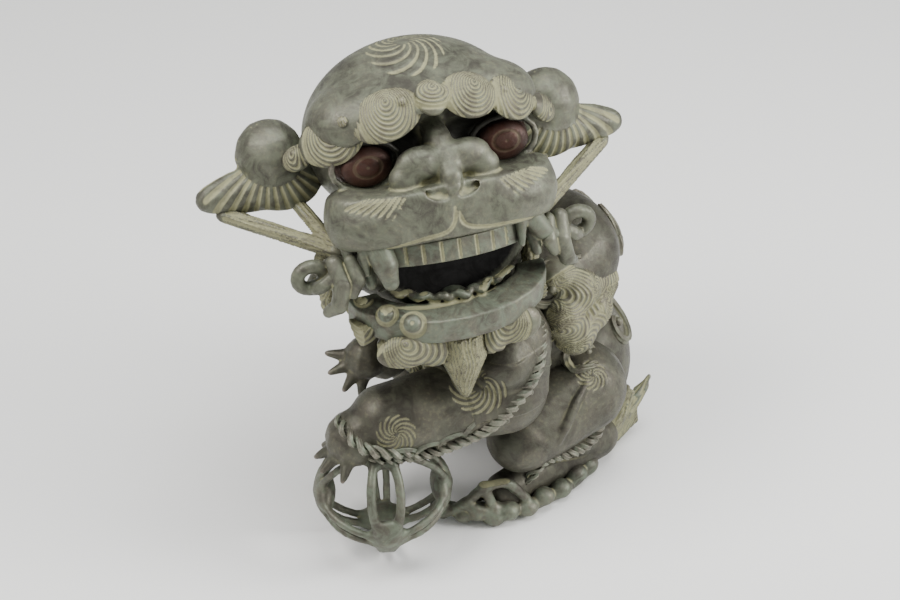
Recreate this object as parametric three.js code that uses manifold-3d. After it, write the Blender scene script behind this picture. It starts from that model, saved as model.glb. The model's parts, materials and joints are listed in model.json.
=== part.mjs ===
// A seated bronze lion-dog whose head is the hinged lid of an incense burner.
// Millimetres, +Z up, the lion's left is +X and its chest faces -Y.
// The head is turned to the lion's left and tips back on a pin at the nape.
import * as THREE from 'three';
import { mergeVertices } from 'three/addons/utils/BufferGeometryUtils.js';
import Module from 'manifold-3d';

const wasm = await Module();
wasm.setup();

// ---------------------------------------------------------------- driving dimensions

const CAST_GAP = 0.3; // clearance between two cast pieces that meet
const LID_GAP = 1.0; // clearance of what swings with the head
const SHELL_WALL = 4; // wall of the body and head castings
const SEAM_HEIGHT = 150; // the head's rim rests here on the shoulders
const SEAM_GAP = 0.3;

const RUMP = { at: [0, 42, 44], size: [50, 46, 50] };
const TRUNK = { at: [0, 18, 98], size: [46, 47, 58] };
const CHEST = { at: [0, -26, 112], size: [42, 36, 52] };
const WITHERS = { at: [2, 20, 122], size: [47, 48, 46] };
const NECK = { at: [-5, -42, 134], size: [38, 38, 36] };

const COLLAR_AT = [-9, -50];
const COLLAR_RADIUS = 24;
const COLLAR_RISE = 8;
const COLLAR_WALL = 3;
const COLLAR_CLEARANCE = 2; // lets the head tip back round the collar

const BASE_PLATE_SIZE = [18, 14];
const BASE_PLATE_THICKNESS = 3;
const FLOOR_WALL = 5;

const BALL_RADIUS = 38.5;
const BALL_PLACE = [22, -109];
const BALL_STRAP = 2.6;
const BALL_BOSS = { radius: 8, thickness: 3 };
const BALL_TURN = 56; // degrees from the front towards the lion's left
const BALL_DIP = 13.5; // how far the front boss looks down

const SHOULDER_RADIUS = 25;
const SHOULDER_SPREAD = 38;
const ELBOW_RADIUS = 24;
const WRIST_RADIUS = 18;
const PAW_RADIUS = 17;
const CLAW_LENGTH = 17;
const CLAW_RADIUS = 4.5;

const THIGH_RADIUS = 29;
const THIGH_SPREAD = 42;
const KNEE_RADIUS = 20;
const SHANK_RADIUS = 14;
const FOOT_RADIUS = 11;
const FOOT_LENGTH = 84;
const TOE_SPREAD = 7;
const TUFT_THICKNESS = 7;

const TAIL_THICKNESS = 9;
const CURL_RADIUS = 13;
const FRINGE_RADIUS = 4;
const RIBBON_RADIUS = 4.2;

const HEAD_AT = [5, -55.4, 238.4]; // bridge of the nose
const HEAD_TURN = 69.4;
const HEAD_LIFT = 21.8;
const DOME = { at: [0, 32, 8], size: [62, 50, 50] };
const CHEEKS = { at: [0, 30, -50], size: [56, 50, 40] };
const MUZZLE_HALF_WIDTH = 62;
const MUZZLE_DEPTH = 42;
const MUZZLE_FRONT = 31;
const MUZZLE_TOP = -12;
const LIP_LEVEL = -41;
const FACE_SETBACK = 1; // the face lies this far behind the bridge, under the brow
const FACE_TOP = 14;
const NOSE_HALF_WIDTH = 26;
const MOUTH_FLOOR = -88;
const MOUTH_BACK = 2;

const EYE_SPREAD = 39;
const EYE_SIZE = [17, 9, 12];
const BROW_RADIUS = 16;
const BROW_HEIGHT = 26;
const BROW_PLACES = [-60, -40, -18, 0, 18, 40, 60];

const JAW_HALF_WIDTH = 57;
const JAW_REACH = 38;
const JAW_LIP = 17;
const JAW_THICKNESS = 15;
const JAW_TILT = 22;
const JAW_PIVOT = [0, -14, -80];
const JAW_BACK = 8;

const TOOTH_ROW_HALF_WIDTH = 40;
const TOOTH_HEIGHT = 12;
const FANG_LENGTH = 20;
const FANG_RADIUS = 5;
const EAR_BULB = 18;
const EAR_REACH = 117;
const EAR_LEVEL = 7;
const STRUT_RADIUS = 5;
const GOATEE_LENGTH = 30;
const MOUTH_KNOT = 10;

const HINGE_AT = [-56, -30];
const HINGE_TURN = HEAD_TURN;
const KNUCKLE_RADIUS = 4.5;
const KNUCKLE_LENGTH = 12;
const PIN_RADIUS = 1.8;
const PIN_CLEARANCE = 0.35;
const LEAF_THICKNESS = 3;
const LEAF_REACH = 16;

// ---------------------------------------------------------------- finishes

const FINISH = {
  bronze: { color: 0x5a5850, roughness: 0.62, metalness: 0.7 },
  greenBronze: { color: 0x66705c, roughness: 0.7, metalness: 0.6 },
  darkBronze: { color: 0x4a4650, roughness: 0.55, metalness: 0.75 },
  copper: { color: 0x6a4438, roughness: 0.45, metalness: 0.85 },
  steel: { color: 0x55504a, roughness: 0.5, metalness: 0.9 },
};

// ---------------------------------------------------------------- shapes

const UP = new THREE.Vector3(0, 1, 0);
const radians = THREE.MathUtils.degToRad;
const vector = (p) => new THREE.Vector3(...p);

/** An ellipsoid with its poles along Z, grown by a clearance. */
function ellipsoid({ at, size, around = 12, along = 8, turn = [0, 0, 0] }, grow = 0) {
  const shape = new THREE.SphereGeometry(1, around, along);
  shape.rotateX(Math.PI / 2);
  shape.scale(size[0] + grow, size[1] + grow, size[2] + grow);
  const turned = new THREE.Matrix4().makeRotationFromEuler(new THREE.Euler(...turn.map(radians), 'ZYX'));
  shape.applyMatrix4(turned);
  return shape.translate(...at);
}

const ball = (at, radius, grow = 0, around = 9, along = 6) =>
  ellipsoid({ at, size: [radius, radius, radius], around, along }, grow);

/** A round-ended limb that tapers from one point to another. */
function limb(from, fromRadius, to, toRadius, grow = 0, sides = 9) {
  const axis = vector(to).sub(vector(from));
  const length = axis.length();
  const [r0, r1] = [fromRadius + grow, toRadius + grow];
  const shoulder = Math.asin(THREE.MathUtils.clamp((r0 - r1) / length, -0.98, 0.98));
  const profile = [];
  const arc = (start, end, radius, centre) => {
    const steps = 2;
    for (let i = 0; i <= steps; i += 1) {
      const a = start + ((end - start) * i) / steps;
      profile.push(new THREE.Vector2(Math.max(0, radius * Math.cos(a)), centre + radius * Math.sin(a)));
    }
  };
  arc(-Math.PI / 2, shoulder, r0, 0);
  arc(shoulder, Math.PI / 2, r1, length);
  profile[0].x = 0;
  profile[profile.length - 1].x = 0;
  const shape = new THREE.LatheGeometry(profile, sides);
  shape.applyQuaternion(new THREE.Quaternion().setFromUnitVectors(UP, axis.normalize()));
  return shape.translate(...from);
}

/** A box given by its lowest and highest corners. */
function block(low, high) {
  const size = high.map((value, i) => value - low[i]);
  const centre = high.map((value, i) => (value + low[i]) / 2);
  return new THREE.BoxGeometry(...size).translate(...centre);
}

/** An upright cylinder between two levels. */
function drum([x, y], radius, bottom, top, sides = 20) {
  const shape = new THREE.CylinderGeometry(radius, radius, top - bottom, sides);
  return shape.rotateX(Math.PI / 2).translate(x, y, (top + bottom) / 2);
}

/** A cylinder along X. */
function barrel(radius, start, end, sides = 12) {
  const shape = new THREE.CylinderGeometry(radius, radius, end - start, sides);
  return shape.rotateZ(Math.PI / 2).translate((start + end) / 2, 0, 0);
}

/** A round bar along a smooth curve through the points, with flat ends. */
function bar(points, radius, steps = 10, sides = 6) {
  const path = new THREE.CatmullRomCurve3(points.map(vector));
  const section = new THREE.Shape();
  section.absarc(0, 0, radius, 0, 2 * Math.PI, false);
  return new THREE.ExtrudeGeometry(section, {
    steps, curveSegments: sides, extrudePath: path, bevelEnabled: false,
  });
}

/** A flat outline in the XY plane, made solid upwards from its own plane. */
function slab(points, thickness) {
  const outline = new THREE.Shape(points.map(([x, y]) => new THREE.Vector2(x, y)));
  return new THREE.ExtrudeGeometry(outline, { depth: thickness, bevelEnabled: false });
}

// ---------------------------------------------------------------- joining and cutting

/** The geometry as a closed solid, whichever way its triangles first faced. */
function solid(geometry) {
  const bare = geometry.clone();
  bare.deleteAttribute('normal');
  bare.deleteAttribute('uv');
  const welded = mergeVertices(bare, 1e-4);
  const points = welded.attributes.position.array;
  const corners = welded.index.array;
  const triangles = [];
  let volume = 0;
  const corner = (index) => new THREE.Vector3().fromArray(points, index * 3);
  for (let i = 0; i < corners.length; i += 3) {
    const [a, b, c] = corners.slice(i, i + 3);
    if (a !== b && b !== c && c !== a) {
      triangles.push([a, b, c]);
      volume += corner(a).dot(corner(b).cross(corner(c)));
    }
  }
  const facing = volume > 0 ? triangles : triangles.map(([a, b, c]) => [a, c, b]);
  return new wasm.Manifold(new wasm.Mesh({
    numProp: 3,
    vertProperties: new Float32Array(points),
    triVerts: new Uint32Array(facing.flat()),
  }));
}

const fuse = (shapes) => shapes.map(solid).reduce((whole, next) => whole.add(next));
const cut = (body, shapes) => shapes.map(solid).reduce((rest, tool) => rest.subtract(tool), body);
const moved = (shapes, matrix) => shapes.map((shape) => shape.clone().applyMatrix4(matrix));

/** The joined solid as a three.js geometry. */
function geometryOf(body) {
  const mesh = body.getMesh();
  const geometry = new THREE.BufferGeometry();
  geometry.setAttribute('position', new THREE.BufferAttribute(new Float32Array(mesh.vertProperties), 3));
  geometry.setIndex(new THREE.BufferAttribute(new Uint32Array(mesh.triVerts), 1));
  geometry.computeVertexNormals();
  return geometry;
}

const lion = new THREE.Group();
const head = new THREE.Group();
head.position.set(...HEAD_AT);
head.rotation.set(radians(-HEAD_LIFT), 0, radians(HEAD_TURN), 'ZXY');
head.updateMatrix();
const hinge = new THREE.Group();
hinge.position.set(...HINGE_AT, SEAM_HEIGHT);
hinge.rotation.z = radians(HINGE_TURN);
hinge.updateMatrix();
lion.add(head, hinge);
const intoHead = head.matrix.clone().invert();
const hingeIntoHead = intoHead.clone().multiply(hinge.matrix);

/** Adds one finished piece to its group. */
function piece(parent, name, finish, body) {
  const mesh = new THREE.Mesh(geometryOf(body), new THREE.MeshStandardMaterial(FINISH[finish]));
  mesh.name = name;
  parent.add(mesh);
  return mesh;
}

// ---------------------------------------------------------------- forms that neighbours share

const FAR = 400;
const belowGround = block([-FAR, -FAR, -FAR], [FAR, FAR, 0]);
const aboveSeam = block([-FAR, -FAR, SEAM_HEIGHT], [FAR, FAR, FAR]);
const belowSeam = block([-FAR, -FAR, -FAR], [FAR, FAR, SEAM_HEIGHT + SEAM_GAP]);

const bodyForm = (grow = 0, detail = {}) =>
  [RUMP, TRUNK, CHEST, WITHERS, NECK].map((form) => ellipsoid({ ...form, ...detail }, grow));
const headForm = (grow = 0, detail = { around: 16, along: 10 }) =>
  [DOME, CHEEKS].map((form) => ellipsoid({ ...form, ...detail }, grow));
const COARSE = { around: 10, along: 6 }; // facets of the unseen inner walls

const ballCentre = [...BALL_PLACE, BALL_RADIUS];

/** A point in the direction given, at a distance from a centre. */
const reach = (centre, direction, distance) =>
  vector(direction).normalize().multiplyScalar(distance).add(vector(centre)).toArray();

const frontPaw = reach(ballCentre, [-0.12, -0.34, 0.95], BALL_RADIUS + PAW_RADIUS * 0.4);
const leftShoulder = [SHOULDER_SPREAD, -30, 116];
const leftElbow = [SHOULDER_SPREAD + 6, -38, 88];
const leftWrist = [ballCentre[0], frontPaw[1] + 14, frontPaw[2] + 1];
const rightShoulder = [-SHOULDER_SPREAD, -32, 114];
const rightElbow = [-SHOULDER_SPREAD - 6, -38, 82];
const rightWrist = [-SHOULDER_SPREAD + 7, -64, 78];
const rightPaw = [rightWrist[0] - 1, rightWrist[1] - 14, rightWrist[2] + 6];

const leftArmForm = (grow = 0) => [
  limb(leftShoulder, SHOULDER_RADIUS, leftElbow, ELBOW_RADIUS, grow),
  limb(leftElbow, ELBOW_RADIUS, leftWrist, WRIST_RADIUS, grow),
  ball(frontPaw, PAW_RADIUS, grow),
];
const rightArmForm = (grow = 0) => [
  limb(rightShoulder, SHOULDER_RADIUS, rightElbow, ELBOW_RADIUS * 0.8, grow),
  limb(rightElbow, ELBOW_RADIUS * 0.8, rightWrist, WRIST_RADIUS * 0.8, grow),
  ball(rightPaw, PAW_RADIUS * 0.8, grow),
];

/** A hind leg: thigh, shank and a long flat foot; side is 1 for the lion's left. */
function hindLegForm(side, grow = 0) {
  const knee = [side * (THIGH_SPREAD + 6), -26, THIGH_RADIUS + 17];
  const hock = [side * (THIGH_SPREAD + 8), 34, SHANK_RADIUS];
  const toes = [side * (THIGH_SPREAD + 6), 34 - FOOT_LENGTH + FOOT_RADIUS, FOOT_RADIUS];
  return [
    limb([side * THIGH_SPREAD, 24, 54], THIGH_RADIUS, knee, KNEE_RADIUS, grow),
    limb(knee, SHANK_RADIUS, hock, SHANK_RADIUS - 1, grow),
    limb(hock, SHANK_RADIUS - 1, toes, FOOT_RADIUS, grow),
  ];
}

/** The space of the ball: its facets lie outside the round of the hoops. */
const ballForm = (grow = 0) => [ball(ballCentre, BALL_RADIUS / Math.cos(Math.PI / 14), grow, 14, 9)];

// ---------------------------------------------------------------- body casting and base plate

/** The hollow body with its neck collar and the hole that its base plate closes. */
function bodyShell() {
  const hollow = cut(fuse(bodyForm(-SHELL_WALL, COARSE)), [
    block([-FAR, -FAR, -FAR], [FAR, FAR, FLOOR_WALL]),
    block([-FAR, -FAR, SEAM_HEIGHT - SHELL_WALL], [FAR, FAR, FAR]),
  ]);
  const collar = drum(COLLAR_AT, COLLAR_RADIUS, SEAM_HEIGHT - SHELL_WALL - 6, SEAM_HEIGHT + COLLAR_RISE);
  const bore = drum(COLLAR_AT, COLLAR_RADIUS - COLLAR_WALL, SEAM_HEIGHT - 20, SEAM_HEIGHT + FAR / 4);
  const outside = cut(fuse(bodyForm()), [aboveSeam, belowGround]);
  const plateHole = plateForm(CAST_GAP, -1, FLOOR_WALL + 1);
  return cut(outside.subtract(hollow).add(solid(collar)), [bore, plateHole]);
}

/** The oval of the base plate between two levels, grown by a clearance. */
function plateForm(grow, bottom, top) {
  const oval = new THREE.CylinderGeometry(1, 1, top - bottom, 28).rotateX(Math.PI / 2);
  oval.scale(BASE_PLATE_SIZE[0] + grow, BASE_PLATE_SIZE[1] + grow, 1);
  return oval.translate(RUMP.at[0], RUMP.at[1], (bottom + top) / 2);
}

piece(lion, 'body_shell', 'bronze', bodyShell());
piece(lion, 'base_plate', 'bronze', solid(plateForm(0, 0, BASE_PLATE_THICKNESS)));

// ---------------------------------------------------------------- ball

/** The openwork ball: three hoops that cross at six bosses. */
function brocadeBall() {
  const hoopRadius = BALL_RADIUS - BALL_STRAP;
  const hoops = [[0, 0], [Math.PI / 2, 0], [0, Math.PI / 2]].map(([x, y]) =>
    new THREE.TorusGeometry(hoopRadius, BALL_STRAP, 4, 16).rotateX(x).rotateY(y));
  const { radius, thickness } = BALL_BOSS;
  const bosses = [];
  for (const axis of [0, 1, 2]) {
    for (const side of [-1, 1]) {
      const size = [radius, radius, radius];
      size[axis] = thickness;
      const at = [0, 0, 0];
      at[axis] = side * (BALL_RADIUS - thickness);
      bosses.push(ellipsoid({ at, size, around: 6, along: 4 }));
    }
  }
  const turn = new THREE.Matrix4().makeRotationFromEuler(
    new THREE.Euler(radians(BALL_DIP), 0, radians(BALL_TURN), 'ZXY'));
  turn.setPosition(...ballCentre);
  return cut(fuse(moved([...hoops, ...bosses], turn)), [belowGround]);
}

const brocade = brocadeBall();
piece(lion, 'brocade_ball', 'greenBronze', brocade);

// ---------------------------------------------------------------- limbs

/** Claws that spread from a paw towards the given directions. */
const claws = (paw, radius, directions, grow = 0) => directions.map((direction) =>
  limb(reach(paw, direction, radius * 0.55), CLAW_RADIUS + 1,
    reach(paw, direction, radius + CLAW_LENGTH * 0.55), CLAW_RADIUS * 0.45, grow, 6));

const LEFT_CLAWS = [[-1, -0.35, -0.75], [-0.75, -0.95, -0.75], [-0.1, -1.2, -0.75], [0.7, -1, -0.7]];
const RIGHT_CLAWS = [[-0.75, -0.8, 0.1], [-0.35, -1, -0.25], [0.1, -0.95, -0.75], [0.35, -0.5, -1]];
const RIGHT_PAW_SIZE = 0.8; // the raised paw is this share of the front one

const leftArm = fuse([...leftArmForm(), ...claws(frontPaw, PAW_RADIUS, LEFT_CLAWS)]);
const bodyCutter = fuse(bodyForm(CAST_GAP));
piece(lion, 'left_foreleg', 'darkBronze', cut(leftArm.subtract(bodyCutter),
  [...ballForm(CAST_GAP), aboveSeam, ...hindLegForm(1, CAST_GAP)]));
const rightArm = fuse([...rightArmForm(), ...claws(rightPaw, PAW_RADIUS * RIGHT_PAW_SIZE, RIGHT_CLAWS)]);
piece(lion, 'right_foreleg', 'darkBronze', cut(rightArm.subtract(bodyCutter),
  [aboveSeam, ...hindLegForm(-1, CAST_GAP)]));

const tuftOutline = (side) => [
  [0, 0], [0, 22], [10, 30], [20, 28], [30, 40], [34, 27], [48, 30], [38, 16], [40, 4], [24, 0], [12, -6],
].map(([back, up]) => [back, up, side]);

/** The flame-shaped hair that stands behind a hock, in the plane of the leg. */
function hockTuft(side) {
  const flame = slab(tuftOutline(side), TUFT_THICKNESS);
  flame.rotateX(Math.PI / 2).rotateZ(Math.PI / 2);
  flame.translate(side * (THIGH_SPREAD + 8) - TUFT_THICKNESS / 2, 28, 4);
  const legs = hindLegForm(side, CAST_GAP);
  return cut(solid(flame).subtract(bodyCutter), [...legs, belowGround]);
}

/** The three toes of a hind foot. */
const toes = (side, grow = 0) => [-TOE_SPREAD, 0, TOE_SPREAD].map((offset) => {
  const root = [side * (THIGH_SPREAD + 6) + offset, 38 - FOOT_LENGTH + FOOT_RADIUS, FOOT_RADIUS];
  return limb(root, CLAW_RADIUS + 2, [root[0] + offset * 0.4, root[1] - CLAW_LENGTH, 4], 2, grow, 6);
});

for (const [name, side] of [['left', 1], ['right', -1]]) {
  const whole = fuse([...hindLegForm(side), ...toes(side)]).subtract(bodyCutter);
  const leg = cut(whole, [belowGround, ...ballForm(CAST_GAP)]);
  piece(lion, `${name}_hind_leg`, 'darkBronze', leg);
  piece(lion, `${name}_hock_tuft`, 'greenBronze', hockTuft(side));
}

// ---------------------------------------------------------------- hair on the body

/** The upright flame tail against the back. */
function tail() {
  const root = [-8, RUMP.at[1] + RUMP.size[1] - 6, 34];
  const flame = [
    limb(root, TAIL_THICKNESS, [-10, root[1] + 2, 62], TAIL_THICKNESS + 2),
    limb([-10, root[1] + 2, 62], TAIL_THICKNESS + 2, [-11, root[1] - 6, 92], TAIL_THICKNESS),
    limb([-11, root[1] - 6, 92], TAIL_THICKNESS, [-13, root[1] - 16, 118], 3.5),
    limb([-10, root[1] + 2, 56], 8, [-26, root[1] - 6, 84], 4),
    limb([-10, root[1] + 2, 56], 8, [4, root[1] - 4, 82], 4),
  ];
  return cut(fuse(flame).subtract(bodyCutter), [belowGround]);
}

piece(lion, 'tail', 'greenBronze', tail());

// the curls on the left of the neck, as shares of the curl radius from their middle
const MANE_MIDDLE = [42, 19, 122];
const MANE_CURLS = [
  [0.15, -0.08, 0.77], [0.38, -1.15, 0], [0.54, -0.54, -1.23],
  [0.15, 0.85, -0.77], [-0.46, 1.77, 0], [-0.62, -0.85, 1.54],
];

/** The curls of one side and the roll of hair that ties them together. */
function sideMane(side) {
  const places = MANE_CURLS.map((share) => {
    const [x, y, z] = share.map((value, axis) => MANE_MIDDLE[axis] + value * CURL_RADIUS);
    return [side * x, y, z];
  });
  return [...places.map((at) => ball(at, CURL_RADIUS, 0, 8, 5)), bar(places, CURL_RADIUS * 0.7, 14, 6)];
}

const armCutters = fuse([...leftArmForm(CAST_GAP), ...rightArmForm(CAST_GAP)]);
for (const [name, side] of [['left', 1], ['right', -1]]) {
  const mane = cut(fuse(sideMane(side)).subtract(bodyCutter).subtract(armCutters), [aboveSeam]);
  piece(lion, `${name}_mane`, 'greenBronze', mane);
}

const CHEST_CURLS = [
  [0, -64, 112], [-14, -60, 104], [14, -60, 104],
  [0, -62, 96], [-10, -60, 120], [10, -60, 120],
];
const chestMane = fuse(CHEST_CURLS.map((at) => ball(at, CURL_RADIUS - 1, 0, 8, 5)));
const chestHair = chestMane.subtract(bodyCutter).subtract(armCutters);
piece(lion, 'chest_mane', 'greenBronze', cut(chestHair, [aboveSeam]));

/** The rope of hair that follows the underside of the left foreleg. */
function forelegFringe() {
  const drop = (point, radius, share) => [point[0] + 2, point[1] + 3, point[2] - radius * share];
  const route = [
    [leftElbow[0] + 2, leftElbow[1] + 8, leftElbow[2] - ELBOW_RADIUS],
    drop(leftElbow.map((value, i) => (value + leftWrist[i]) / 2), ELBOW_RADIUS, 0.98),
    drop(leftWrist, WRIST_RADIUS, 1.05),
  ];
  const cutters = [...leftArmForm(CAST_GAP), ...ballForm(CAST_GAP), ...hindLegForm(1, CAST_GAP)];
  return cut(solid(bar(route, FRINGE_RADIUS, 14)).subtract(bodyCutter), cutters);
}

piece(lion, 'foreleg_fringe', 'greenBronze', forelegFringe());

/** The ball's ribbon on the ground, with its knot beside the hind foot. */
function ribbon() {
  const start = reach(ballCentre, [0.25, 0.75, -0.6], BALL_RADIUS - 1);
  const floor = [start[0] + 8, start[1] + 16, RIBBON_RADIUS];
  const knot = [THIGH_SPREAD + 13, floor[1] + 12, RIBBON_RADIUS + 2];
  const along = [THIGH_SPREAD + 22, -2, RIBBON_RADIUS];
  const end = [THIGH_SPREAD + 17, 24, RIBBON_RADIUS];
  const band = bar([start, floor, knot], RIBBON_RADIUS, 6, 5);
  const rest = bar([knot, [knot[0] + 6, knot[1] + 16, RIBBON_RADIUS], along, end], RIBBON_RADIUS, 8, 5);
  const body = fuse([band, ball(knot, RIBBON_RADIUS + 4), rest]).subtract(bodyCutter);
  const cutters = [...hindLegForm(1, CAST_GAP), ...toes(1, CAST_GAP), ...ballForm(CAST_GAP), belowGround];
  return cut(body.subtract(solid(tuftSpace())), cutters);
}

/** The space that the left hock tuft takes, with its clearance. */
function tuftSpace() {
  const half = TUFT_THICKNESS / 2 + CAST_GAP;
  return block([THIGH_SPREAD + 8 - half, 30, -1], [THIGH_SPREAD + 8 + half, 100, 60]);
}

piece(lion, 'ball_ribbon', 'greenBronze', ribbon());

// ---------------------------------------------------------------- head casting

/** The plan of the boxy muzzle: a wide front with rounded corners. */
function muzzlePlan(grow = 0) {
  const points = [];
  const half = MUZZLE_HALF_WIDTH + grow;
  const front = MUZZLE_FRONT + grow;
  for (let i = 0; i <= 12; i += 1) {
    const a = (Math.PI * i) / 12;
    const c = Math.cos(a);
    points.push([half * Math.sign(c) * Math.abs(c) ** 0.7, -front * Math.sin(a) ** 0.75]);
  }
  return [...points, [-half + 14, MUZZLE_DEPTH - front], [half - 14, MUZZLE_DEPTH - front]];
}

const muzzleForm = (grow = 0) =>
  slab(muzzlePlan(grow), MUZZLE_TOP - LIP_LEVEL + 2 * grow).translate(0, 0, LIP_LEVEL - grow);

const noseForm = [
  ellipsoid({ at: [0, -6, -5], size: [12, 15, 15], around: 10, along: 7 }),
  ...[-1, 1].map((side) =>
    ellipsoid({ at: [side * 14, -6, -8], size: [NOSE_HALF_WIDTH - 14, 12, 9], around: 10, along: 6 })),
];
const eyeForm = (side, grow = 0) =>
  ellipsoid({ at: [side * EYE_SPREAD, 3, 1], size: EYE_SIZE, turn: [0, 0, side * 8] }, grow);

const faceRecess = (grow = 0) =>
  block([-FAR, -FAR, MUZZLE_TOP - FAR], [FAR, FACE_SETBACK + grow, FACE_TOP + grow]);
const mouthSpace = block([-FAR, -FAR, MOUTH_FLOOR], [FAR, MOUTH_BACK, LIP_LEVEL + 1e-3]);

/** The hollow head casting, open at the mouth and at the seam. */
function headShell() {
  const skull = cut(fuse(headForm()), [faceRecess()]);
  const outside = fuse([muzzleForm(), ...noseForm]).add(skull);
  const behindLip = block([-TOOTH_ROW_HALF_WIDTH, -MUZZLE_FRONT + 14, LIP_LEVEL - 2],
    [TOOTH_ROW_HALF_WIDTH, 20, MUZZLE_TOP - SHELL_WALL]);
  const hollow = cut(fuse(headForm(-SHELL_WALL, COARSE)), [faceRecess(SHELL_WALL)]).add(solid(behindLip));
  const overCollar = drum(COLLAR_AT, COLLAR_RADIUS + COLLAR_CLEARANCE,
    SEAM_HEIGHT - COLLAR_RISE, SEAM_HEIGHT + COLLAR_RISE + COLLAR_CLEARANCE);
  const eyes = [eyeForm(-1, CAST_GAP), eyeForm(1, CAST_GAP)];
  const cutters = [mouthSpace, ...eyes, ...moved([belowSeam, overCollar], intoHead)];
  return cut(outside.subtract(hollow), cutters);
}

const shell = headShell();
piece(head, 'head_shell', 'bronze', shell);
piece(head, 'left_eye', 'copper', solid(eyeForm(1)));
piece(head, 'right_eye', 'copper', solid(eyeForm(-1)));

const headCutter = fuse([...headForm(CAST_GAP), muzzleForm(CAST_GAP)]);

/** The overhanging brow of curls, from ear to ear. */
function browFringe() {
  const lobes = BROW_PLACES.map((x) => {
    const back = DOME.size[1] * (1 - Math.sqrt(Math.max(0, 1 - (x / (DOME.size[0] + 6)) ** 2)));
    const radius = x === 0 ? BROW_RADIUS - 5 : BROW_RADIUS;
    const drop = 12 * (Math.abs(x) / DOME.size[0]) ** 3;
    const at = [x, DOME.at[1] - DOME.size[1] + back + 2, BROW_HEIGHT - drop];
    return { at, size: [radius, 11, radius - 4], around: 7, along: 4 };
  });
  const rope = bar(lobes.map(({ at }) => at), BROW_RADIUS / 2, 12, 5);
  const fringe = fuse([rope, ...lobes.map((lobe) => ellipsoid(lobe))]);
  return cut(fringe.subtract(headCutter), [eyeForm(-1, CAST_GAP), eyeForm(1, CAST_GAP)]);
}

piece(head, 'brow_fringe', 'greenBronze', browFringe());

// ---------------------------------------------------------------- mouth

/** Half of an oval in plan, open to the back. */
function halfOval(half, front, back, steps = 12) {
  const points = [];
  for (let i = 0; i <= steps; i += 1) {
    const a = (Math.PI * i) / steps;
    points.push([half * Math.cos(a), back - front * Math.sin(a)]);
  }
  return points;
}

/**
 * The horseshoe of the lower lip with the floor of the mouth, tilted up to the corners.
 * A grown jaw has no well, unless one is asked for.
 */
function lowerJaw(grow = 0, open = grow === 0) {
  const front = JAW_REACH + grow;
  const plan = halfOval(JAW_HALF_WIDTH + grow, front, JAW_BACK + grow);
  const outer = slab(plan, JAW_THICKNESS + 2 * grow);
  const wellFront = JAW_REACH - JAW_LIP - grow;
  const well = slab(halfOval(JAW_HALF_WIDTH - JAW_LIP - grow, wellFront, JAW_BACK + 1), JAW_THICKNESS);
  outer.translate(0, 0, -JAW_THICKNESS - grow);
  well.translate(0, 0, -JAW_THICKNESS + SHELL_WALL + grow);
  const pivot = new THREE.Matrix4().makeTranslation(...JAW_PIVOT);
  const tilt = new THREE.Matrix4().makeRotationX(radians(JAW_TILT));
  const aboutPivot = [outer, well].map((shape) => shape.translate(0, -JAW_PIVOT[1], 0));
  const [rim, floor] = moved(aboutPivot, pivot.multiply(tilt));
  return open ? solid(rim).subtract(solid(floor)) : solid(rim);
}

const cheekBehindMouth = fuse(headForm(CAST_GAP))
  .intersect(solid(block([-FAR, MOUTH_BACK - CAST_GAP, -FAR], [FAR, FAR, FAR])));
const jaw = lowerJaw().subtract(cheekBehindMouth);
piece(head, 'lower_jaw', 'greenBronze', jaw);

/** The upper row of front teeth, set up into the lip. */
function upperTeeth() {
  const arc = [];
  const start = 0.18; // the row starts at this share of a half turn
  const halfLength = TOOTH_ROW_HALF_WIDTH / Math.cos(start * Math.PI);
  for (let i = 0; i <= 10; i += 1) {
    const a = Math.PI * (start + ((1 - 2 * start) * i) / 10);
    arc.push([halfLength * Math.cos(a), -(MUZZLE_FRONT - 3) * Math.sin(a)]);
  }
  const inner = arc.map(([x, y]) => [x * 0.9, y + 6]).reverse();
  return solid(slab([...arc, ...inner], TOOTH_HEIGHT).translate(0, 0, LIP_LEVEL - TOOTH_HEIGHT - CAST_GAP));
}

piece(head, 'upper_teeth', 'bronze', upperTeeth());

for (const [name, side] of [['left', 1], ['right', -1]]) {
  const top = LIP_LEVEL - CAST_GAP;
  const canine = limb([side * (TOOTH_ROW_HALF_WIDTH + 6), -8, top], FANG_RADIUS,
    [side * (TOOTH_ROW_HALF_WIDTH + 7), -14, top - FANG_LENGTH], FANG_RADIUS * 0.6, 0, 10);
  const sideTooth = limb([side * (TOOTH_ROW_HALF_WIDTH + 12), -2, top], FANG_RADIUS - 1,
    [side * (TOOTH_ROW_HALF_WIDTH + 13), -3, top - FANG_LENGTH * 0.6], 1.2, 0, 8);
  const roof = block([-FAR, -FAR, top], [FAR, FAR, FAR]);
  piece(head, `${name}_fangs`, 'bronze', cut(fuse([canine, sideTooth]).subtract(cheekBehindMouth), [roof]));
}

/** The tongue, which lies in the well of the jaw. */
const tongue = limb([0, 0, JAW_PIVOT[2] - 1], 7, [0, -6, JAW_PIVOT[2] - 4], 6, 0, 10).scale(1.5, 1, 1);
const tongueInWell = solid(tongue).subtract(lowerJaw(CAST_GAP, true)).subtract(cheekBehindMouth);
piece(head, 'tongue', 'darkBronze', tongueInWell);

// ---------------------------------------------------------------- beard, ears and locks

const chin = JAW_PIVOT[2] - JAW_THICKNESS - 2;
const jawCutter = lowerJaw(CAST_GAP);

const bodyBelow = moved(bodyForm(LID_GAP), intoHead);
const armsBelow = moved([...leftArmForm(LID_GAP), ...rightArmForm(LID_GAP)], intoHead);
const clearOfBody = (body) => cut(cut(body, bodyBelow), armsBelow);

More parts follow.
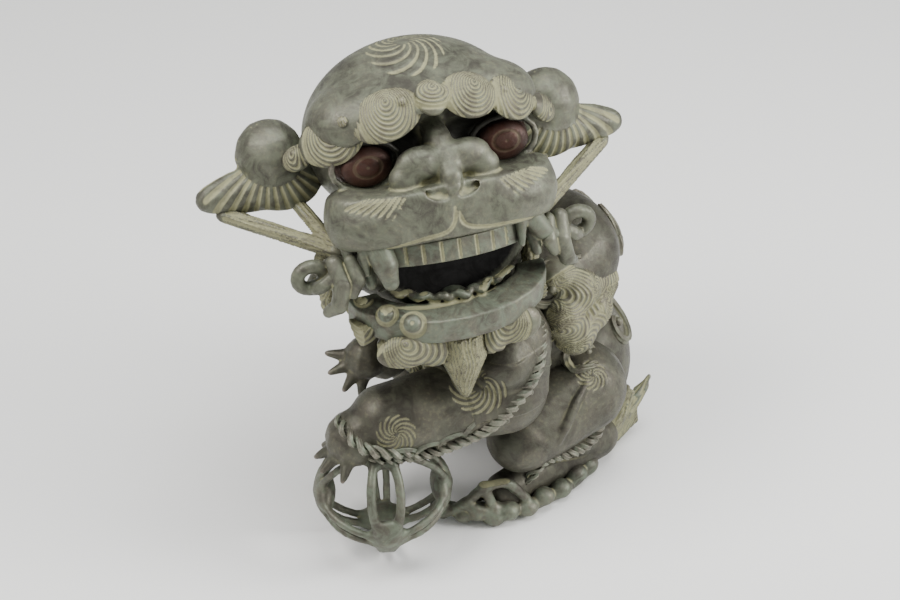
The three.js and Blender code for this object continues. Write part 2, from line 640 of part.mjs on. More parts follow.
const goateeForm = (grow = 0) => [
  limb([0, -8, chin - 10], 15, [0, -2, chin - 10 - GOATEE_LENGTH], 3, grow),
];
const beardForm = [-34, -16, 16, 34].map((x) => {
  const at = [x, -14 + Math.abs(x) * 0.35, chin - 9 + Math.abs(x) * 0.12];
  return ellipsoid({ at, size: [13, 11, 12], around: 8, along: 5 });
});
const goatee = fuse(goateeForm()).subtract(jawCutter).subtract(headCutter);
piece(head, 'goatee', 'greenBronze', clearOfBody(goatee));
const beardBridge = ellipsoid({ at: [0, 6, chin - 6], size: [38, 14, 9], around: 10, along: 5 });
const beard = fuse([...beardForm, beardBridge]).subtract(jawCutter).subtract(headCutter);
piece(head, 'beard_curls', 'greenBronze', clearOfBody(cut(beard, goateeForm(CAST_GAP))));

/** One ear: a round bulb and the flap that points outwards. */
function earForm(side, grow = 0) {
  const bulbAt = [side * (DOME.size[0] + EAR_BULB), 40, EAR_LEVEL];
  const root = [side * (DOME.size[0] + 8), 36, EAR_LEVEL - 16];
  return [ball(bulbAt, EAR_BULB, grow), limb(root, 12, [side * EAR_REACH, 40, EAR_LEVEL - 19], 7, grow)];
}

/** The looped curl at a corner of the mouth. */
function mouthKnotForm(side, grow = 0) {
  const knot = new THREE.TorusGeometry(MOUTH_KNOT, STRUT_RADIUS - 1 + grow, 6, 12);
  knot.rotateY(side * radians(35));
  return [knot.translate(side * (MUZZLE_HALF_WIDTH + 5), 1, LIP_LEVEL - MOUTH_KNOT - 4)];
}

/** The two straight locks that run from an ear to the corner of the mouth. */
function earLockForm(side, grow = 0) {
  const corner = [side * (MUZZLE_HALF_WIDTH - 4), 6, LIP_LEVEL - STRUT_RADIUS + 1];
  const outerEnd = [side * (EAR_REACH - 7), 38, EAR_LEVEL - 28];
  const innerEnd = [side * (DOME.size[0] + 12), 36, EAR_LEVEL - 22];
  return [
    limb(outerEnd, STRUT_RADIUS, corner, STRUT_RADIUS, grow, 6),
    limb(innerEnd, STRUT_RADIUS - 1, corner, STRUT_RADIUS, grow, 6),
  ];
}

for (const [name, side] of [['left', 1], ['right', -1]]) {
  piece(head, `${name}_ear`, 'bronze', fuse(earForm(side)).subtract(headCutter));
  const lock = fuse(earLockForm(side)).subtract(headCutter);
  piece(head, `${name}_ear_lock`, 'greenBronze', cut(lock, earForm(side, CAST_GAP)));
  const curl = fuse(mouthKnotForm(side)).subtract(jawCutter).subtract(headCutter);
  piece(head, `${name}_mouth_curl`, 'greenBronze', clearOfBody(cut(curl, earLockForm(side, CAST_GAP))));
  piece(head, `${name}_side_lock`, 'greenBronze', sideLocks(side));
}

/** The locks of hair that hang behind each corner of the mouth. */
function sideLocks(side) {
  const top = [side * 60, 28, LIP_LEVEL - 14];
  const locks = [
    limb(top, 8, [side * 62, 36, LIP_LEVEL - 42], 4, 0, 6),
    limb(top, 8, [side * 50, 16, LIP_LEVEL - 46], 4, 0, 6),
  ];
  const clear = fuse(locks).subtract(headCutter).subtract(jawCutter);
  return clearOfBody(cut(clear, [...earLockForm(side, CAST_GAP), ...mouthKnotForm(side, CAST_GAP)]));
}

// ---------------------------------------------------------------- hinge

const knuckle = (start, end) => barrel(KNUCKLE_RADIUS, start, end);
const pinHole = barrel(PIN_RADIUS + PIN_CLEARANCE, -FAR, FAR);
const halfKnuckle = KNUCKLE_LENGTH / 2;
const pinReach = halfKnuckle + KNUCKLE_LENGTH + 2;
const leafBottom = -KNUCKLE_RADIUS - LEAF_THICKNESS;

/** The fixed leaf: two outer knuckles on an arm from the shoulder. */
const fixedLeaf = fuse([-1, 1].flatMap((side) => {
  const ends = [halfKnuckle + CAST_GAP, halfKnuckle + KNUCKLE_LENGTH];
  const [start, end] = ends.map((value) => value * side).sort((a, b) => a - b);
  return [knuckle(start, end), block([start, -LEAF_REACH, leafBottom], [end, 0, -KNUCKLE_RADIUS + 1])];
}).concat(block([-pinReach + 2, -LEAF_REACH, leafBottom], [pinReach - 2, -4, -KNUCKLE_RADIUS])));
const bodyInHinge = moved(bodyForm(CAST_GAP), hinge.matrix.clone().invert());
piece(hinge, 'hinge_leaf_fixed', 'steel', cut(fixedLeaf, [pinHole, ...bodyInHinge]));
piece(hinge, 'hinge_pin', 'steel', solid(barrel(PIN_RADIUS, -pinReach, pinReach)));
const movingLeaf = fuse([
  knuckle(-halfKnuckle, halfKnuckle),
  block([-halfKnuckle, -20, 0.8], [halfKnuckle, 0, KNUCKLE_RADIUS]),
]);
const headInHinge = moved([...headForm(CAST_GAP)], hingeIntoHead.clone().invert());
piece(hinge, 'hinge_leaf_moving', 'steel', cut(movingLeaf, [pinHole, ...headInHinge]));

// ---------------------------------------------------------------- stand the lion on its origin

lion.updateMatrixWorld(true);
const extent = new THREE.Box3().setFromObject(lion, true);
const middle = extent.getCenter(new THREE.Vector3());
lion.position.set(-middle.x, -middle.y, -extent.min.z);

export default lion;
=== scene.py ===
"""Foo dog statue: the cast bronze lion-dog with its brocade ball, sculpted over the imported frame."""

import json
import logging
import math
from dataclasses import dataclass, field
from enum import Enum
from typing import Callable, ClassVar, Iterable, Sequence

import bpy
import numpy as np
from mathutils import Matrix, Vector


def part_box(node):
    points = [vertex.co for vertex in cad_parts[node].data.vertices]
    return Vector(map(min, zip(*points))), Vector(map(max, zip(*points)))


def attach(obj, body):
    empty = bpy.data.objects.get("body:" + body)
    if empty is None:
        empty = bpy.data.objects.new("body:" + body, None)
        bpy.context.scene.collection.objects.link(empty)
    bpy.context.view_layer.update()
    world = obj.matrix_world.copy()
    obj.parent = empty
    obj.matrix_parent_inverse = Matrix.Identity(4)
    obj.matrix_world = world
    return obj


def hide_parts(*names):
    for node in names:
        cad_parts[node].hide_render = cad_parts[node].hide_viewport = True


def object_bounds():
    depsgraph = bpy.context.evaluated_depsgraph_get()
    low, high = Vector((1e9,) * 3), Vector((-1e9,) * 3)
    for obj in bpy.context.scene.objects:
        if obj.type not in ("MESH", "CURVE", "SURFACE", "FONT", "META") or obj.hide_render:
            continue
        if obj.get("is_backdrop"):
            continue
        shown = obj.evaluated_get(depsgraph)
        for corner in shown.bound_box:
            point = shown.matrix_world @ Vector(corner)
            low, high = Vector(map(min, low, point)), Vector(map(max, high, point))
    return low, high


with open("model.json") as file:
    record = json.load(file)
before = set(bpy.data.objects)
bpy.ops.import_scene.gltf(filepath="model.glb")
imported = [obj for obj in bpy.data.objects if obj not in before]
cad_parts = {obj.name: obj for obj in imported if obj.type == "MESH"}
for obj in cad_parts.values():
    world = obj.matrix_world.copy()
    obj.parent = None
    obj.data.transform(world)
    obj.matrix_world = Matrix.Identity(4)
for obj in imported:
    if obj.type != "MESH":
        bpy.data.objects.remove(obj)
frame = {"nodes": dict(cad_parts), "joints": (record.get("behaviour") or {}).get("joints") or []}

import openvdb as vdb
from mathutils import Vector

LOG = logging.getLogger("foo_dog")
Array = np.ndarray
Socket = bpy.types.NodeSocket


class Body(Enum):
    """The two castings that move."""

    LION = "body"
    HEAD = "head"


class Slot(Enum):
    """Material slots of the record."""

    BRONZE = "cast_bronze"
    HAIR = "hair_bronze"
    GREEN = "green_bronze"
    COPPER = "copper_eyes"
    IRON = "iron_fittings"


# ------------------------------------------------------------------ places

HINGE_IN_DESIGN = np.array([-56.0, -30.0, 150.0])
HEAD_AT = np.array([5.0, -55.4, 238.4])
HEAD_TURN = math.radians(69.4)
HEAD_LIFT = math.radians(21.8)


def design_shift() -> Array:
    """The step in mm from the lion's own design frame to the row frame."""
    joint = frame["joints"][0]
    return np.array(joint["pos_m"]) * 1000 - HINGE_IN_DESIGN


SHIFT = design_shift()


def unit(vector: Sequence[float]) -> Array:
    """The vector at length one."""
    v = np.asarray(vector, float)
    return v / max(float(np.linalg.norm(v)), 1e-9)


def head_axes() -> Array:
    """Rows are the head's own left, forward and up directions in the design frame."""
    flat, tilt = HEAD_TURN, HEAD_LIFT
    left = np.array([math.cos(flat), math.sin(flat), 0.0])
    forward = np.array([math.sin(flat) * math.cos(tilt), -math.cos(flat) * math.cos(tilt), math.sin(tilt)])
    return np.stack([left, forward, np.cross(forward, left)])


HEAD_AXES = head_axes()


def on_head(points: Sequence) -> Array:
    """Points given as head left, forward and up, in the design frame."""
    return np.asarray(points, float) @ HEAD_AXES + HEAD_AT


def along_head(direction: Sequence[float]) -> Array:
    """A direction given as head left, forward and up, in the design frame."""
    return unit(np.asarray(direction, float) @ HEAD_AXES)


def to_row(points: Array) -> Array:
    """Design millimetres as row-frame metres."""
    return (np.asarray(points, float) + SHIFT) / 1000


def frame_about(normal: Sequence[float], towards: Sequence[float]) -> Array:
    """Rows are two tangents and the normal; the first tangent leans towards the given direction."""
    n = unit(normal)
    t = np.asarray(towards, float)
    t = t - n * (t @ n)
    if np.linalg.norm(t) < 1e-6:
        t = np.cross(n, (0.3, 0.9, 0.2))
    t = unit(t)
    return np.stack([t, np.cross(n, t), n])


def smooth_line(points: Sequence, per: int = 8) -> Array:
    """A Catmull-Rom line through the points.

    Args:
        points: corner rows, of any width.
        per: rows made for each stretch.

    Returns:
        The rows of the smooth line.
    """
    p = np.asarray(points, float)
    p = np.vstack([2 * p[0] - p[1], p, 2 * p[-1] - p[-2]])
    rows = []
    for i in range(1, len(p) - 2):
        for t in np.linspace(0, 1, per, endpoint=False):
            a, b, c, d = p[i - 1], p[i], p[i + 1], p[i + 2]
            rows.append(0.5 * (2 * b + (c - a) * t + (2 * a - 5 * b + 4 * c - d) * t**2
                               + (3 * b - a - 3 * c + d) * t**3))
    rows.append(p[-2])
    return np.array(rows)


# ------------------------------------------------------------------ clay shapes


@dataclass
class Blob:
    """A ball or egg of clay."""

    centre: Sequence[float]
    radii: Sequence[float]
    axes: Array = field(default_factory=lambda: np.eye(3))

    def distance(self, p: Array) -> Array:
        """Signed distance of the points p, about right near the skin."""
        q = ((p - np.asarray(self.centre)) @ self.axes.T) / np.asarray(self.radii, float)
        k0 = np.linalg.norm(q, axis=-1)
        k1 = np.linalg.norm(q / np.asarray(self.radii, float), axis=-1)
        return k0 * (k0 - 1) / np.maximum(k1, 1e-6)

    def box(self) -> tuple[Array, Array]:
        """Lowest and highest corner."""
        r = max(self.radii)
        c = np.asarray(self.centre, float)
        return c - r, c + r


@dataclass
class Rope:
    """A round rope of clay through points, each with its radius."""

    points: Sequence
    radii: Sequence[float] | float

    def rows(self) -> tuple[Array, Array]:
        """The points and a radius for each."""
        p = np.asarray(self.points, float)
        return p, np.broadcast_to(np.asarray(self.radii, float), len(p)) * 1.0

    def distance(self, p: Array) -> Array:
        """Signed distance of the points p."""
        rows, radii = self.rows()
        best = np.full(p.shape[:-1], 1e3)
        for a, b, ra, rb in zip(rows, rows[1:], radii, radii[1:]):
            ba = b - a
            t = np.clip((p - a) @ ba / max(ba @ ba, 1e-9), 0, 1)
            d = np.linalg.norm(p - a - t[..., None] * ba, axis=-1) - (ra + t * (rb - ra))
            best = np.minimum(best, d)
        return best

    def box(self) -> tuple[Array, Array]:
        """Lowest and highest corner."""
        rows, radii = self.rows()
        return rows.min(0) - radii.max(), rows.max(0) + radii.max()


@dataclass
class Hull:
    """A hollow casting of joined eggs: walled trims keep the wall behind them, opened ones leave a hole."""

    eggs: Sequence[Blob]
    wall: float
    walled: Sequence[Callable[[Array], Array]] = ()
    opened: Sequence[Callable[[Array], Array]] = ()
    blend: float = 0.0

    def distance(self, p: Array) -> Array:
        """Signed distance of the points p."""
        solid = self.eggs[0].distance(p)
        for egg in self.eggs[1:]:
            solid = soft_min(solid, egg.distance(p), self.blend)
        for trim in self.walled:
            solid = np.maximum(solid, trim(p))
        made = np.maximum(solid, -(solid + self.wall))
        for trim in self.opened:
            made = np.maximum(made, trim(p))
        return made

    def box(self) -> tuple[Array, Array]:
        """Lowest and highest corner."""
        boxes = [egg.box() for egg in self.eggs]
        return np.min([b[0] for b in boxes], 0), np.max([b[1] for b in boxes], 0)


def soft_min(a: Array, b: Array, blend: float) -> Array:
    """The lower of two distances with a fillet of size blend between them."""
    if blend <= 0:
        return np.minimum(a, b)
    h = np.clip(blend - np.abs(a - b), 0, None) / blend
    return np.minimum(a, b) - h * h * blend / 4


BAND_CELLS = 6.0


@dataclass
class Clay:
    """A block of clay: distances on a grid, grown from CAD nodes and worked with tools."""

    cells: Array
    corner: Array
    step: float

    @classmethod
    def over(cls, nodes: Iterable[str], step: float = 0.8, pad: float = 5.0) -> "Clay":
        """Clay in the shape of CAD nodes.

        Args:
            nodes: names of the CAD nodes.
            step: grid step in mm.
            pad: room round the nodes in mm.

        Returns:
            The new block.
        """
        shells = []
        for name in nodes:
            mesh = frame["nodes"][name].data
            co = np.empty(len(mesh.vertices) * 3, np.float32)
            mesh.vertices.foreach_get("co", co)
            mesh.calc_loop_triangles()
            tris = np.empty(len(mesh.loop_triangles) * 3, np.int32)
            mesh.loop_triangles.foreach_get("vertices", tris)
            placed = (co.reshape(-1, 3) * 1000 - SHIFT).astype(np.float32)
            shells.append((placed, tris.reshape(-1, 3).astype(np.uint32)))
        low = np.min([s[0].min(0) for s in shells], 0) - pad
        high = np.max([s[0].max(0) for s in shells], 0) + pad
        first = np.floor(low / step).astype(int)
        shape = tuple(np.ceil(high / step).astype(int) - first + 1)
        cells = np.full(shape, BAND_CELLS * step, np.float32)
        scale = vdb.createLinearTransform(voxelSize=step)
        for co, tris in shells:
            grid = vdb.FloatGrid.createLevelSetFromPolygons(co, triangles=tris, transform=scale,
                                                            halfWidth=BAND_CELLS)
            one = np.empty(shape, np.float32)
            grid.copyToArray(one, ijk=tuple(int(i) for i in first))
            np.minimum(cells, one, out=cells)
        return cls(cells, first, step)

    def _window(self, low: Array, high: Array) -> tuple[tuple[slice, ...], Array] | None:
        """The slices of a box and the design points of its cells."""
        a = np.clip(np.floor(low / self.step).astype(int) - self.corner, 0, None)
        b = np.minimum(np.ceil(high / self.step).astype(int) - self.corner + 1, self.cells.shape)
        if np.any(b <= a):
            return None
        lines = [(np.arange(a[k], b[k]) + self.corner[k]) * self.step for k in range(3)]
        return tuple(slice(a[k], b[k]) for k in range(3)), np.stack(np.meshgrid(*lines, indexing="ij"), -1)

    def everywhere(self) -> Array:
        """The design point of every cell."""
        lines = [(np.arange(n) + self.corner[k]) * self.step for k, n in enumerate(self.cells.shape)]
        return np.stack(np.meshgrid(*lines, indexing="ij"), -1)

    def empty(self) -> "Clay":
        """Clears the block and keeps its place."""
        self.cells[:] = BAND_CELLS * self.step
        return self

    def stand(self) -> "Clay":
        """Cuts the clay off flat where it rests."""
        height = (np.arange(self.cells.shape[2]) + self.corner[2]) * self.step
        self.cells[:] = np.maximum(self.cells, -height)
        return self

    def add(self, shape: Blob | Rope, blend: float = 1.5) -> "Clay":
        """Presses more clay on, with a fillet of size blend."""
        low, high = shape.box()
        found = self._window(low - blend - 2, high + blend + 2)
        if found:
            part, p = found
            d = np.clip(shape.distance(p), -BAND_CELLS * self.step, BAND_CELLS * self.step)
            self.cells[part] = soft_min(self.cells[part], d, blend)
        return self

    def carve(self, shape: Blob | Rope, blend: float = 1.0) -> "Clay":
        """Takes clay away, with a rounded edge of size blend."""
        low, high = shape.box()
        found = self._window(low - blend - 2, high + blend + 2)
        if found:
            part, p = found
            d = np.clip(shape.distance(p), -BAND_CELLS * self.step, BAND_CELLS * self.step)
            self.cells[part] = -soft_min(-self.cells[part], d, blend)
        return self

    def soften(self, passes: int) -> "Clay":
        """Rubs the clay smooth."""
        for _ in range(passes):
            for axis in range(3):
                c = np.moveaxis(self.cells, axis, 0)
                inner = 0.25 * c[:-2] + 0.5 * c[1:-1] + 0.25 * c[2:]
                c[1:-1] = inner
        return self

    def soften_in(self, low: Sequence[float], high: Sequence[float], passes: int) -> "Clay":
        """Rubs only a box of the clay smooth, given by two corners in mm."""
        a, b = np.minimum(low, high), np.maximum(low, high)
        found = self._window(a, b)
        if found:
            part = Clay(self.cells[found[0]].copy(), self.corner, self.step).soften(passes)
            inner = tuple(slice(s.start + 1, s.stop - 1) for s in found[0])
            self.cells[inner] = part.cells[1:-1, 1:-1, 1:-1]
        return self

    def sample(self, points: Array, cells: Array | None = None) -> Array:
        """The distance at each point, between the cells' own values."""
        grid = self.cells if cells is None else cells
        q = np.asarray(points, float) / self.step - self.corner
        q = np.clip(q, 0, np.array(grid.shape) - 1.001)
        i = q.astype(int)
        f = q - i
        total = np.zeros(len(q))
        for dx in (0, 1):
            for dy in (0, 1):
                for dz in (0, 1):
                    share = (np.abs(1 - dx - f[:, 0]) * np.abs(1 - dy - f[:, 1]) * np.abs(1 - dz - f[:, 2]))
                    total += share * grid[i[:, 0] + dx, i[:, 1] + dy, i[:, 2] + dz]
        return total

    def slope(self, points: Array) -> Array:
        """The outward direction at each point."""
        g = np.stack([self.sample(points + d) - self.sample(points - d) for d in np.eye(3) * self.step], -1)
        return g / np.maximum(np.linalg.norm(g, axis=1, keepdims=True), 1e-6)

    def cling(self, points: Array, lift: float = 0.0) -> Array:
        """The points moved onto the skin, plus a lift."""
        p = np.array(points, float)
        for _ in range(14):
            p -= self.slope(p) * (self.sample(p) - lift)[:, None] * 0.8
        return p

    def skin(self) -> tuple[Array, Array]:
        """Points and quads of the clay's skin, with faces outwards."""
        grid = vdb.FloatGrid(float(BAND_CELLS * self.step))
        solid = np.ascontiguousarray(self.cells, dtype=np.float32)
        grid.copyFromArray(solid, ijk=tuple(int(i) for i in self.corner))
        grid.transform = vdb.createLinearTransform(voxelSize=self.step)
        points, quads = grid.convertToQuads(isovalue=0.0)
        points, quads = np.array(points, float), np.array(quads, np.int32)
        normals = skin_normals(points, quads)
        if np.mean(np.sum(normals[::50] * self.slope(points[::50]), 1)) < 0:
            quads = quads[:, ::-1].copy()
        return points, quads

    def hollows(self, points: Array, passes: int = 5) -> Array:
        """How deep each point lies in a hollow, in cells; less than nothing on a crest."""
        rubbed = Clay(self.cells.copy(), self.corner, self.step).soften(passes)
        return -rubbed.sample(points) / self.step


def skin_normals(points: Array, quads: Array) -> Array:
    """Unit normals at the points of a quad or triangle mesh."""
    a, b, c = points[quads[:, 0]], points[quads[:, 1]], points[quads[:, 2]]
    face = np.cross(b - a, c - a)
    if quads.shape[1] == 4:
        d = points[quads[:, 3]]
        face = np.cross(c - a, d - b)
    total = np.zeros_like(points)
    for k in range(quads.shape[1]):
        for axis in range(3):
            total[:, axis] += np.bincount(quads[:, k], face[:, axis], len(points))
    return total / np.maximum(np.linalg.norm(total, axis=1, keepdims=True), 1e-9)


# ------------------------------------------------------------------ engraving tools


def furrow(phase: Array, sharp: float = 1.6) -> Array:
    """A groove at each whole number of the phase: one at its bottom, nothing between."""
    return (0.5 + 0.5 * np.cos(2 * np.pi * phase)) ** sharp


def fade(value: Array, start: float, stop: float) -> Array:
    """One before start, nothing past stop, smooth between."""
    t = np.clip((value - start) / (stop - start), 0, 1)
    return 1 - t * t * (3 - 2 * t)


@dataclass
class Whirl:
    """Rings round a centre on the skin, which may lean, spiral or open as a fan."""

    centre: Sequence[float]
    normal: Sequence[float]
    radius: float
    rings: float = 5
    arms: float = 0
    towards: Sequence[float] = (0, 0, 1)
    narrow: float = 1.0
    lean: float = 0.0
    inner: float = 0.0
    depth: float = 0.6
    sector: float = math.pi
    reach: float = 0.9
    sharp: float = 2.2

    def flat(self, offset: Array, axes: Array) -> tuple[Array, Array, Array]:
        """Places in the whirl's own plane: share of the way out, angle and height over the plane."""
        q = offset @ axes.T
        u, v = q[:, 0] / self.radius, q[:, 1] / (self.radius * self.narrow)
        k = self.lean
        r = (-k * u + np.sqrt(k * k * u * u + (1 - k * k) * (u * u + v * v))) / (1 - k * k)
        return r, np.arctan2(v, u), np.abs(q[:, 2])

    def share(self, points: Array, normals: Array) -> Array:
        """How far out each point lies: nothing at the centre, one at the rim, far more out of reach."""
        axes = frame_about(self.normal, self.towards)
        r, _, height = self.flat(points - np.asarray(self.centre), axes)
        turned = (normals @ axes[2] < 0.05) | (height > self.radius * (self.reach + 0.2))
        return r + 9.0 * turned

    def cut(self, points: Array, normals: Array) -> Array:
        """The depth in mm that the tool cuts at each point."""
        axes = frame_about(self.normal, self.towards)
        out = np.zeros(len(points))
        offset = points - np.asarray(self.centre)
        near = np.flatnonzero(np.einsum("ij,ij->i", offset, offset) < (self.radius * (2 + self.lean)) ** 2)
        r, angle, height = self.flat(offset[near], axes)
        lines = furrow(self.rings * r + self.arms * angle / (2 * math.pi), self.sharp)
        facing = np.clip((normals[near] @ axes[2]) * 3, 0, 1)
        mask = fade(r, 0.96, 1.06) * (r > self.inner) * facing * (np.abs(angle) <= self.sector)
        mask *= fade(height, self.radius * self.reach, self.radius * (self.reach + 0.3))
        out[near] = lines * mask * self.depth
        return out


@dataclass
class Scales:
    """Whirls side by side, where each point belongs to the one that it lies deepest in."""

    whirls: Sequence[Whirl]
    depth: float = 0.7

    def cut(self, points: Array, normals: Array) -> Array:
        """The depth in mm that the tools cut at each point."""
        best = np.full(len(points), 1.06)
        out = np.zeros(len(points))
        for whirl in self.whirls:
            r = whirl.share(points, normals)
            closer = r < best
            cut = whirl.cut(points[closer], normals[closer])
            edge = np.exp(-(((r[closer] - np.minimum(best[closer], 1.0)) * whirl.radius / 0.9) ** 2))
            out[closer] = np.maximum(cut, edge * self.depth)
            best[closer] = r[closer]
        return out


def nearest_on(points: Array, line: Array) -> tuple[Array, Array, Array]:
    """Offset from the line, direction of the line and share along it, for each point."""
    best = np.full(len(points), 1e9)
    offset, heading, share = np.zeros_like(points), np.zeros_like(points), np.zeros(len(points))
    for i, (a, b) in enumerate(zip(line, line[1:])):
        ba = b - a
        t = np.clip((points - a) @ ba / max(ba @ ba, 1e-9), 0, 1)
        delta = points - a - t[:, None] * ba
        d = np.einsum("ij,ij->i", delta, delta)
        closer = d < best
        best[closer] = d[closer]
        offset[closer] = delta[closer]
        heading[closer] = unit(ba)
        share[closer] = (i + t[closer]) / (len(line) - 1)
    return offset, heading, share


@dataclass
class Comb:
    """Lines drawn along a path, side by side."""

    path: Sequence
    width: float
    pitch: float = 2.0
    depth: float = 0.5
    wave: float = 0.0

    def cut(self, points: Array, normals: Array) -> Array:
        """The depth in mm that the tool cuts at each point."""
        line = smooth_line(self.path, 5)
        out = np.zeros(len(points))
        low, high = line.min(0) - self.width * 1.3, line.max(0) + self.width * 1.3
        near = np.flatnonzero(np.all((points > low) & (points < high), 1))
        if len(near):
            offset, heading, share = nearest_on(points[near], line)
            side = np.cross(heading, normals[near])
            across = np.einsum("ij,ij->i", offset, side)
            across += self.wave * np.sin(share * 14)
            far = np.linalg.norm(offset, axis=1)
            ends = fade(-share, -0.04, 0.0) * fade(share, 0.96, 1.0)
            inside = fade(far, self.width * 0.9, self.width * 1.1)
            out[near] = furrow(across / self.pitch) * inside * ends * self.depth
        return out


@dataclass
class Scratch:
    """One incised stroke along a path."""

    path: Sequence
    width: float = 0.8
    depth: float = 0.7

    def cut(self, points: Array, normals: Array) -> Array:
        """The depth in mm that the tool cuts at each point."""
        line = smooth_line(self.path, 5)
        out = np.zeros(len(points))
        low, high = line.min(0) - 6, line.max(0) + 6
        near = np.flatnonzero(np.all((points > low) & (points < high), 1))
        if len(near):
            offset, _, share = nearest_on(points[near], line)
            flat = offset - normals[near] * np.einsum("ij,ij->i", offset, normals[near])[:, None] * 0.93
            far = np.linalg.norm(flat, axis=1)
            taper = np.clip(np.minimum(share, 1 - share) * 8, 0.3, 1)
            out[near] = np.exp(-((far / self.width) ** 2)) * taper * self.depth
        return out


Tool = Whirl | Scales | Comb | Scratch


def pitted(points: Array, size: float, seed: int) -> Array:
    """Smooth random relief from -1 to 1 with features of about the given size in mm."""
    rng = np.random.default_rng(seed)
    total = np.zeros(len(points))
    for _ in range(7):
        wave = rng.normal(size=3)
        wave *= 2 * math.pi / (size * rng.uniform(0.7, 1.6) * np.linalg.norm(wave))
        total += np.sin(points @ wave + rng.uniform(0, 6.28))
    return total / 4.5


# ------------------------------------------------------------------ finishes


def add_socket(tree: bpy.types.NodeTree, name: str, kind: str, way: str, value: float | None = None) -> None:
    """Adds a named input or output to a node group."""
    socket = tree.interface.new_socket(name=name, in_out=way, socket_type=f"NodeSocket{kind}")
    if value is not None:
        socket.default_value = value


def node(tree: bpy.types.NodeTree, kind: str, **values: object) -> bpy.types.Node:
    """A node of the tree with its properties and, by number or name, its input values."""
    made = tree.nodes.new(kind)
    for key, value in values.items():
        if key.startswith("in_"):
            name = key[3:]
            made.inputs[int(name) if name.isdigit() else name.replace("_", " ")].default_value = value
        else:
            setattr(made, key, value)
    return made


def patina_group() -> bpy.types.NodeTree:
    """The shared group that lays verdigris, dust and wear over cast bronze, with painted highlight on the
    crests and painted shade, near black, in the hollows.
    """
    tree = bpy.data.node_groups.new("weathered bronze", "ShaderNodeTree")
    for name in Patina.SHARES:
        add_socket(tree, name, "Float", "INPUT")
    for name in Patina.COLOURS:
        add_socket(tree, name, "Color", "INPUT")
    add_socket(tree, "Colour", "Color", "OUTPUT")
    for name in ("Roughness", "Metallic", "Height"):
        add_socket(tree, name, "Float", "OUTPUT")
    link = tree.links.new
    given = node(tree, "NodeGroupInput").outputs
    out = node(tree, "NodeGroupOutput").inputs
    place = node(tree, "ShaderNodeTexCoord").outputs["Object"]
    # The recess attribute carries dust, the crest attribute carries wear and painted highlight, and the last
    # one carries painted shade.
    recess, crest, painted_shade = (node(tree, "ShaderNodeAttribute", attribute_name=name).outputs["Fac"]
                           for name in ("recess", "crest", "painted_shade"))

    def noise(scale: float, detail: float, rough: float, source: Socket, lumps: float = 0.0) -> Socket:
        """Noise whose scale is the given share of an input."""
        made = node(tree, "ShaderNodeTexNoise", in_Detail=detail, in_Roughness=rough, in_Distortion=lumps)
        link(place, made.inputs["Vector"])
        grown = node(tree, "ShaderNodeMath", operation="MULTIPLY", in_1=scale)
        link(source, grown.inputs[0])
        link(grown.outputs[0], made.inputs["Scale"])
        return made.outputs["Fac"]

    def remap(value: Socket, low: float, high: float, to_low: float = 0.0, to_high: float = 1.0) -> Socket:
        """The value moved smoothly from one range to another."""
        made = node(tree, "ShaderNodeMapRange", interpolation_type="SMOOTHSTEP")
        link(value, made.inputs["Value"])
        for key, number in (("From Min", low), ("From Max", high), ("To Min", to_low), ("To Max", to_high)):
            made.inputs[key].default_value = number
        return made.outputs["Result"]

    def maths(operation: str, a: Socket | float, b: Socket | float) -> Socket:
        """One sum of two values, kept between nothing and one unless it is a difference."""
        made = node(tree, "ShaderNodeMath", operation=operation, use_clamp=operation != "SUBTRACT")
        for socket, value in zip(made.inputs, (a, b)):
            if isinstance(value, (int, float)):
                socket.default_value = value
            else:
                link(value, socket)
        return made.outputs[0]

    def mix(share: Socket, a: Socket, b: Socket) -> Socket:
        """The first colour turned into the second by the share."""
        made = node(tree, "ShaderNodeMix", data_type="RGBA")
        link(share, made.inputs["Factor"])
        link(a, made.inputs[6])
        link(b, made.inputs[7])
        return made.outputs[2]

    clouds = noise(1.0, 5, 0.62, given["Cloud Scale"], 0.6)
    patches = noise(2.3, 6, 0.65, given["Cloud Scale"], 1.2)
    grain = noise(1.0, 4, 0.6, given["Grain Scale"])
    specks = noise(0.42, 3, 0.5, given["Grain Scale"])
    colour = mix(remap(clouds, 0.34, 0.66), given["Dark"], given["Mid"])
    green = maths("MULTIPLY", remap(patches, 0.36, 0.66), given["Verdigris"])
    colour = mix(green, colour, given["Green"])
    broken = remap(patches, 0.25, 0.6, 0.45, 1.0)
    dust = maths("MULTIPLY", maths("MULTIPLY", remap(recess, 0.12, 0.75), given["Dust"]), broken)
    film = maths("MULTIPLY", remap(specks, 0.46, 0.8, 0.0, 0.3), given["Dust"])
    dust = maths("MAXIMUM", dust, maths("MULTIPLY", film, remap(clouds, 0.4, 0.6)))
    colour = mix(dust, colour, given["Dust Tint"])
    # Crests turn lighter and shinier: partly real wear, partly a painted highlight.
    rubbed_highlight = maths("MULTIPLY", remap(crest, 0.2, 0.9), given["Wear And Highlight"])
    rubbed_highlight = maths("MULTIPLY", rubbed_highlight, remap(grain, 0.36, 0.6, 0.3, 1.0))
    colour = mix(rubbed_highlight, colour, given["Worn Highlight Tint"])
    # Painted shade: a near-black colour laid into the mouth hollow and the eye sockets by the painted shade
    # attribute.
    black = node(tree, "ShaderNodeRGB")
    black.outputs[0].default_value = (0.006, 0.0055, 0.005, 1)
    colour = mix(painted_shade, colour, black.outputs[0])
    link(colour, out["Colour"])
    link(maths("SUBTRACT", maths("ADD", remap(grain, 0.3, 0.7, 0.42, 0.6), maths("MULTIPLY", dust, 0.3)),
               maths("MULTIPLY", rubbed_highlight, 0.16)), out["Roughness"])
    covered = maths("MAXIMUM", dust, maths("MULTIPLY", green, 0.7))
    bare = maths("SUBTRACT", 0.62, maths("MULTIPLY", covered, 0.6))
    link(maths("ADD", bare, maths("MULTIPLY", rubbed_highlight, 0.25)), out["Metallic"])
    link(maths("ADD", maths("MULTIPLY", grain, 0.6), maths("MULTIPLY", specks, 0.4)), out["Height"])
    return tree


